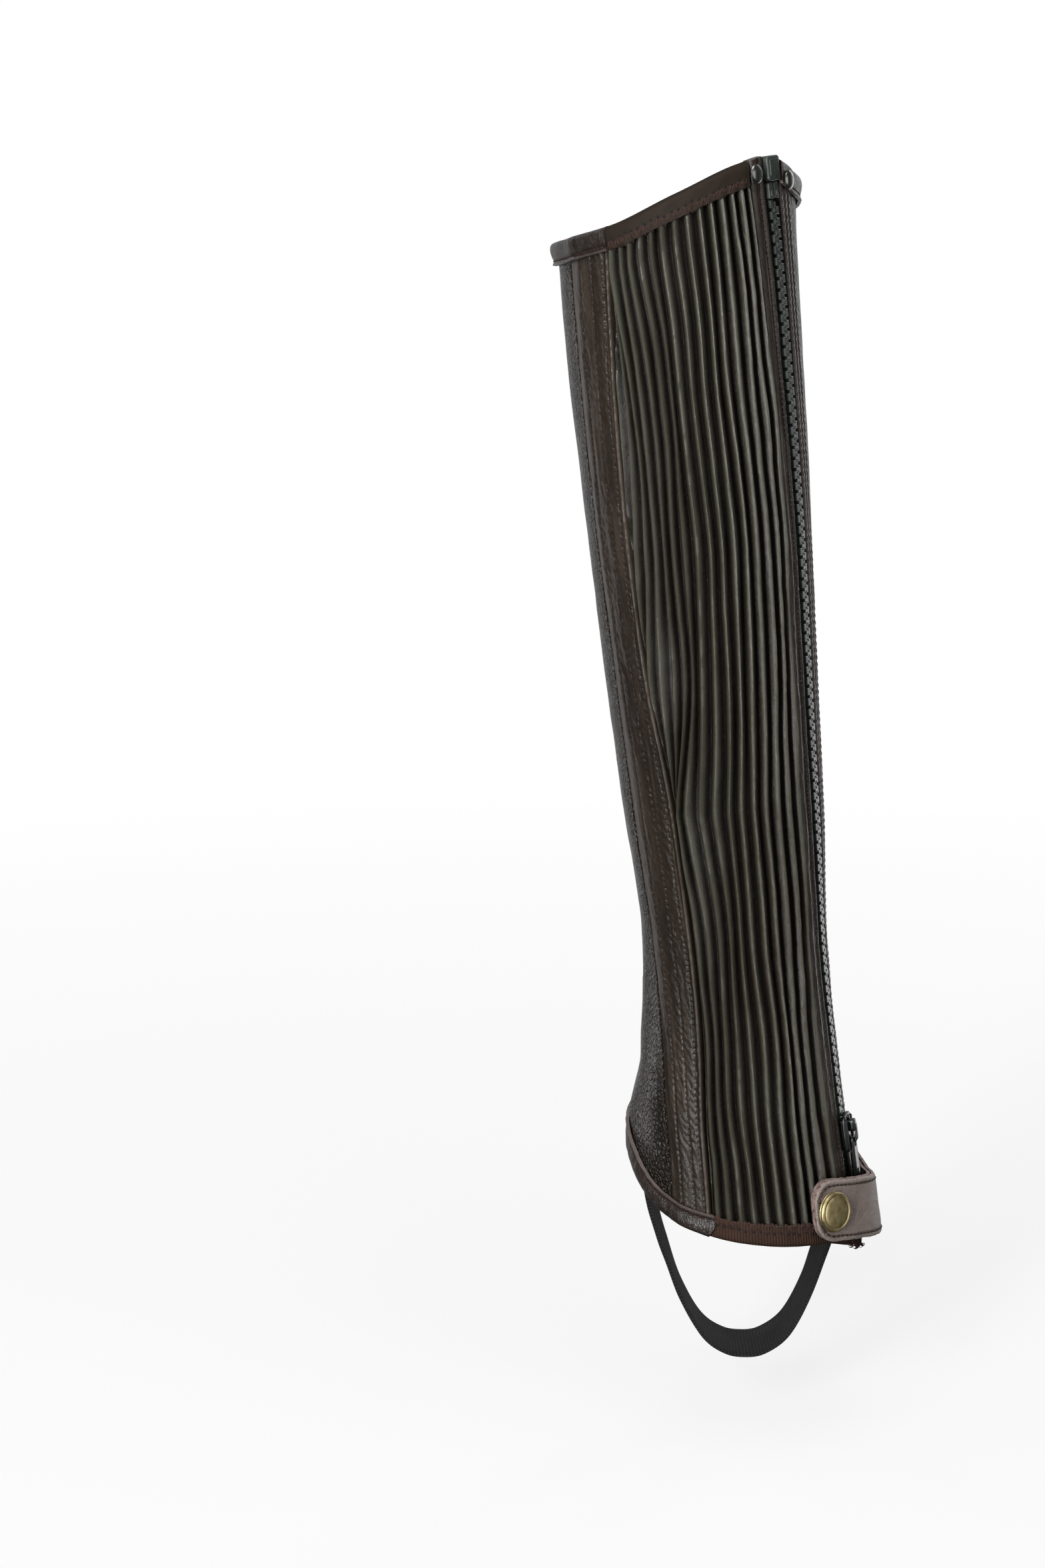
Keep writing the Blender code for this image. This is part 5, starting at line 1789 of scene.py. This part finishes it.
def sew_strap():
    """Stitches round the strap near its edge, and a row across its fixed end."""
    straight = np.arange(STRAP_END_RADIUS, STRAP_LENGTH - 1.5, STRAP_STITCH)
    radius = STRAP_END_RADIUS - STRAP_ROW
    corner = np.linspace(0, np.pi / 2, int(radius * np.pi / 2 / STRAP_STITCH) + 1)[1:]
    corner_places = STRAP_END_RADIUS - radius * np.sin(corner)
    corner_overs = STRAP_STRAIGHT + radius * np.cos(corner)
    end = np.linspace(1, -1, 5)[1:-1] * STRAP_STRAIGHT
    side_overs = 0 * straight + STRAP_HALF_HEIGHT - STRAP_ROW
    end_places = 0 * end + STRAP_ROW
    places = np.concatenate([straight[::-1], corner_places, end_places, corner_places[::-1], straight])
    overs = np.concatenate([side_overs, corner_overs, end, -corner_overs[::-1], -side_overs])
    depth = STRAP_FACE + strap_relief(places, overs)
    fixed = np.arange(STRAP_ROW - STRAP_HALF_HEIGHT, STRAP_HALF_HEIGHT - STRAP_ROW, STRAP_STITCH)
    fixed_places = STRAP_LENGTH - STRAP_FIXED_ROW + 0 * fixed
    rows = [strap_row(places, overs, depth), strap_row(fixed_places, fixed, depth[0])]
    sew("strap_stitches", rows, 0.36, BROWN_THREAD, 0.2, 0.4)


def build_strap():
    """Two leather layers that close over the foot of the zip, round at the free end, sewn near the edge."""
    end = STRAP_END_RADIUS * (1 - np.cos(np.linspace(0, np.pi / 2, 19)))
    body = np.linspace(STRAP_END_RADIUS, STRAP_LENGTH, 161)[1:]
    distance = np.concatenate([end, body])[:, None]
    half = np.maximum(strap_half(distance), STRAP_STRAIGHT)
    even = np.linspace(-1, 1, 41)[None, :]
    across = (0.35 * np.sin(np.pi / 2 * even) + 0.65 * even) * half
    angle = strap_angle(distance) + 0 * across
    margin = strap_margin(distance, across)
    # Painted highlight with wear on the cut edge, painted shade in the stitch groove
    tone = np.clip(0.5 + humps(margin, STRAP_PAINTED_LIGHT_AND_WEAR), 0, 1)
    backing_relief = -0.25 * np.exp(-np.maximum(half - np.abs(across), 0) ** 2)
    for name, depth, seed, relief in (
        ("hem_strap_backing", 0.0, 62, backing_relief),
        ("hem_strap_outer", STRAP_LAYER + STRAP_GAP, 63, strap_relief(distance, across)),
    ):
        worn_edge = 0.22 * waviness(distance, across, 2.0, 30.0, seed)
        reach = across * (1 + worn_edge / STRAP_HALF_HEIGHT * np.abs(across / half) ** 6)
        face = strap_surface(angle, reach, depth + STRAP_LAYER + relief)
        back = strap_surface(angle, reach, depth)
        outer, inner, shade = (grid.swapaxes(0, 1) for grid in (face, back, tone))
        piece = shell(name + "_shell", outer, inner, [STRAPPED, FLESH, STRAP_EDGE], shade)
        finish_piece(piece, [name])
    sew_strap()


def build_press_stud():
    """Cap on the strap and the base between the strap and the pleats."""
    for name, profile, steps, depth in (
        ("snap_cap", smooth_profile(SNAP_CAP), 96, STRAP_FACE + 0.3),
        ("snap_base", SNAP_BASE, 48, SNAP_BASE_OUT),
    ):
        bm = bmesh.new()
        turned(bm, profile, steps)
        hard_piece(name, bm, BRASS, strap_frame(SNAP_ANGLE, depth))


def build_rivets():
    """Domed rivets on both sides of the zip box."""
    def on_placket(angle, height):
        share = share_between(placket_seam, placket_edge, angle, height)
        return PLACKET_OUT + PLACKET_TAB_RISE * (1 - share) * placket_raised(height, angle) + 0.3

    def on_binding(angle, height):
        return FRONT_FOLD_OUT + BINDING + 0.6

    for name, (angle, height), face in (
        ("stud_rear", REAR_RIVET, on_placket),
        ("stud_front", FRONT_RIVET, on_binding),
    ):
        rivet = bmesh.new()
        turned(rivet, smooth_profile(RIVET), 64)
        hard_piece(name, rivet, STEEL, frame_on(lambda level: angle, height, face))


# Frayed end and stirrup

def build_frayed_end():
    """Worn threads at the cut end of the hem elastic, just below the strap."""
    chance = np.random.RandomState(91)
    angles = meeting(placket_edge, worn_hem, ZIP_SIDE) - chance.uniform(*FRAYED_SPAN, FRAYED_THREADS)
    heights = worn_hem(angles) + chance.uniform(0.2, 3.4, FRAYED_THREADS)
    out = FRONT_FOLD_OUT + BINDING + chance.uniform(0.0, 1.4, FRAYED_THREADS)
    share = np.linspace(0, 1, 6)[None, :]
    lengths = chance.uniform(0.6, 2.0, FRAYED_THREADS)[:, None]
    curl = chance.uniform(-1, 1, (FRAYED_THREADS, 4))
    swing = curl[:, :1] * np.sin(2.6 * share) + curl[:, 1:2] * np.sin(5.2 * share)
    lift = 0.9 * np.sin(np.pi * share) + curl[:, 2:3] * 0.6 * share
    angle = angles[:, None] + degrees_for(angles[:, None], heights[:, None], 1.3 * swing)
    drop = lengths * np.sin(1.9 * share) * (0.55 + 0.45 * np.abs(curl[:, 3:]))
    centres = surface(angle, heights[:, None] - drop, out[:, None] + lift)
    along = unit(np.gradient(centres, axis=1))
    sides = unit(np.cross(along, np.array([0.3, 0.2, 1.0])))
    ups = np.cross(sides, along)
    radii = FRAYED_RADIUS * (1 - 0.5 * share) * chance.uniform(0.6, 1.2, (FRAYED_THREADS, 1))
    finish_piece(rings("frayed_threads", centres, sides, ups, radii, RED_THREAD, 5), [])


def build_stirrup():
    """Elastic loop from inside the hem on one side to the other, under the foot."""
    step = np.arange(len(STIRRUP), dtype=float)
    fine = np.linspace(0, len(STIRRUP) - 1, 12 * (len(STIRRUP) - 1) + 1)
    x = smooth(step, column(STIRRUP, 0), fine)
    z = smooth(step, column(STIRRUP, 1), fine)
    along = unit(np.stack([np.gradient(x), np.gradient(z)], -1))
    normal = np.stack([along[:, 1], -along[:, 0]], -1)
    width_share = np.linspace(-0.5, 0.5, 37)[None, :]
    forward = STIRRUP_CENTRE + STIRRUP_WIDTH * width_share
    travelled = lengths_along(np.stack([x, z], -1))[:, None]
    edge_thin = 0.35 * np.abs(2 * width_share) ** 14
    skins = []
    for side in (0.5, -0.5):
        relief = side * (STIRRUP_THICKNESS - edge_thin) + 0.12 * waviness(travelled, forward, 9.0, 8.0, 71)
        skin_x = x[:, None] + relief * normal[:, :1]
        skin_z = z[:, None] + relief * normal[:, 1:]
        lean, half_width, front, back = section(skin_z)
        depth = np.where(forward < 0, back, front) - STIRRUP_INSIDE
        round_share = np.sqrt(1 - (forward / depth) ** 2)
        curved = ease(skin_z, STIRRUP_FLAT_BELOW, STIRRUP_CURVED_ABOVE)
        spread = 1 - curved * (1 - round_share)
        wide = lean + (skin_x - lean) * spread
        skins.append(np.stack([wide, forward + 0 * skin_x, skin_z + 0 * forward], -1))
    strip = np.stack([travelled + 0 * forward, forward + 0 * travelled], -1) * MM
    piece = shell("stirrup_webbing", skins[0], skins[1], [STIRRUP_TAPE] * 3, None, strip)
    finish_piece(piece, ["stirrup"])


for build in (
    build_front_panel, build_side_band, build_rear_placket, build_pleat_panel, build_bindings, build_elastics,
    build_panel_stitches, build_zip_teeth, build_zip_tapes, build_zip_top, build_slider, build_pull_tab,
    build_strap, build_press_stud, build_rivets, build_frayed_end, build_stirrup,
):
    build()


# Stage, light and camera, in metres

FLOOR_LEVEL = -0.36
FLOOR_FADE = (0.2, 1.3)
FLOOR_GLOW = (0.78, 1.0)
ROOM_TURN = (0.20, 1.0)
ROOM_STRENGTH = (0.05, 0.22)
LIGHTS = (
    # name, azimuth from behind the leg, height, distance, width, tall, watts
    ("key", -28, 0.05, 1.7, 0.24, 2.4, 60.0),
    ("fill", 40, 0.10, 1.9, 1.60, 2.0, 17.0),
    ("left_edge", -147, 0.10, 1.7, 0.22, 2.2, 3.6),
    ("right_edge", 142, 0.10, 1.7, 0.26, 2.2, 8.0),
    ("front", 176, 0.10, 1.9, 1.30, 1.8, 5.0),
    ("top", -10, 1.90, 0.5, 1.20, 1.2, 16.0),
)
CAMERA_PLACE = (-0.0675, -1.17495, 0.12897)
CAMERA_TILT = 11.0
CAMERA_SENSOR = 36.0
CAMERA_LENS = 70.71


def build_stage():
    """Pale floor under the part, as if the foot stood on it, that fades to plain white away from it."""
    bpy.ops.mesh.primitive_plane_add(size=40.0, location=(0, 0, FLOOR_LEVEL))
    floor = bpy.context.object
    floor.name = "floor"
    made, tree, shader = make_material("pale_floor", 0.9)
    shader.inputs["Base Color"].default_value = (0.9, 0.9, 0.9, 1.0)
    place = node(tree, "TexCoord").outputs["Object"]
    away = node(tree, "VectorMath", {"operation": "LENGTH"}, i0=place).outputs["Value"]
    glow = node(tree, "Emission").outputs[0]
    share = remap(tree, away, *FLOOR_FADE, *FLOOR_GLOW)
    blend = node(tree, "MixShader", i0=share, i1=shader.outputs[0], i2=glow).outputs[0]
    tree.links.new(blend, tree.nodes["Material Output"].inputs["Surface"])
    floor.data.materials.append(made)
    floor.visible_diffuse = False
    floor.visible_glossy = False


def build_room():
    """Dim white room, a little brighter beyond the shin, which the camera sees as plain white."""
    world = bpy.data.worlds.new("studio")
    bpy.context.scene.world = world
    world.use_nodes = True
    tree = world.node_tree
    background = tree.nodes["Background"]
    direction = node(tree, "TexCoord").outputs["Generated"]
    parts = node(tree, "SeparateXYZ", Vector=direction)
    lit = remap(tree, parts.outputs[1], *ROOM_TURN, *ROOM_STRENGTH)
    seen = node(tree, "LightPath").outputs["Is Camera Ray"]
    tree.links.new(maths(tree, "MAXIMUM", lit, seen), background.inputs["Strength"])
    background.inputs["Color"].default_value = (1.0, 1.0, 1.0, 1.0)
    bpy.context.scene.view_settings.view_transform = "Standard"


def build_lights():
    """Tall soft strips and panels round the leg and one panel above it, all turned to the origin."""
    for name, azimuth, height, distance, width, tall, watts in LIGHTS:
        lamp = bpy.data.lights.new(name, "AREA")
        lamp.shape = "RECTANGLE"
        lamp.size = width
        lamp.size_y = tall
        lamp.energy = watts
        thing = bpy.data.objects.new(name, lamp)
        bpy.context.scene.collection.objects.link(thing)
        turn = math.radians(azimuth)
        thing.location = (distance * math.sin(turn), -distance * math.cos(turn), height)
        thing.rotation_euler = thing.location.to_track_quat("Z", "Y").to_euler()
        thing.visible_camera = False


def build_camera():
    """Camera behind the leg, a little above its middle and tilted down."""
    camera = bpy.data.cameras.new("camera")
    camera.sensor_width = CAMERA_SENSOR
    camera.lens = CAMERA_LENS
    thing = bpy.data.objects.new("camera", camera)
    thing.location = CAMERA_PLACE
    thing.rotation_euler = (math.radians(90 - CAMERA_TILT), 0, 0)
    bpy.context.scene.collection.objects.link(thing)
    bpy.context.scene.camera = thing


build_stage()
build_room()
build_lights()
build_camera()
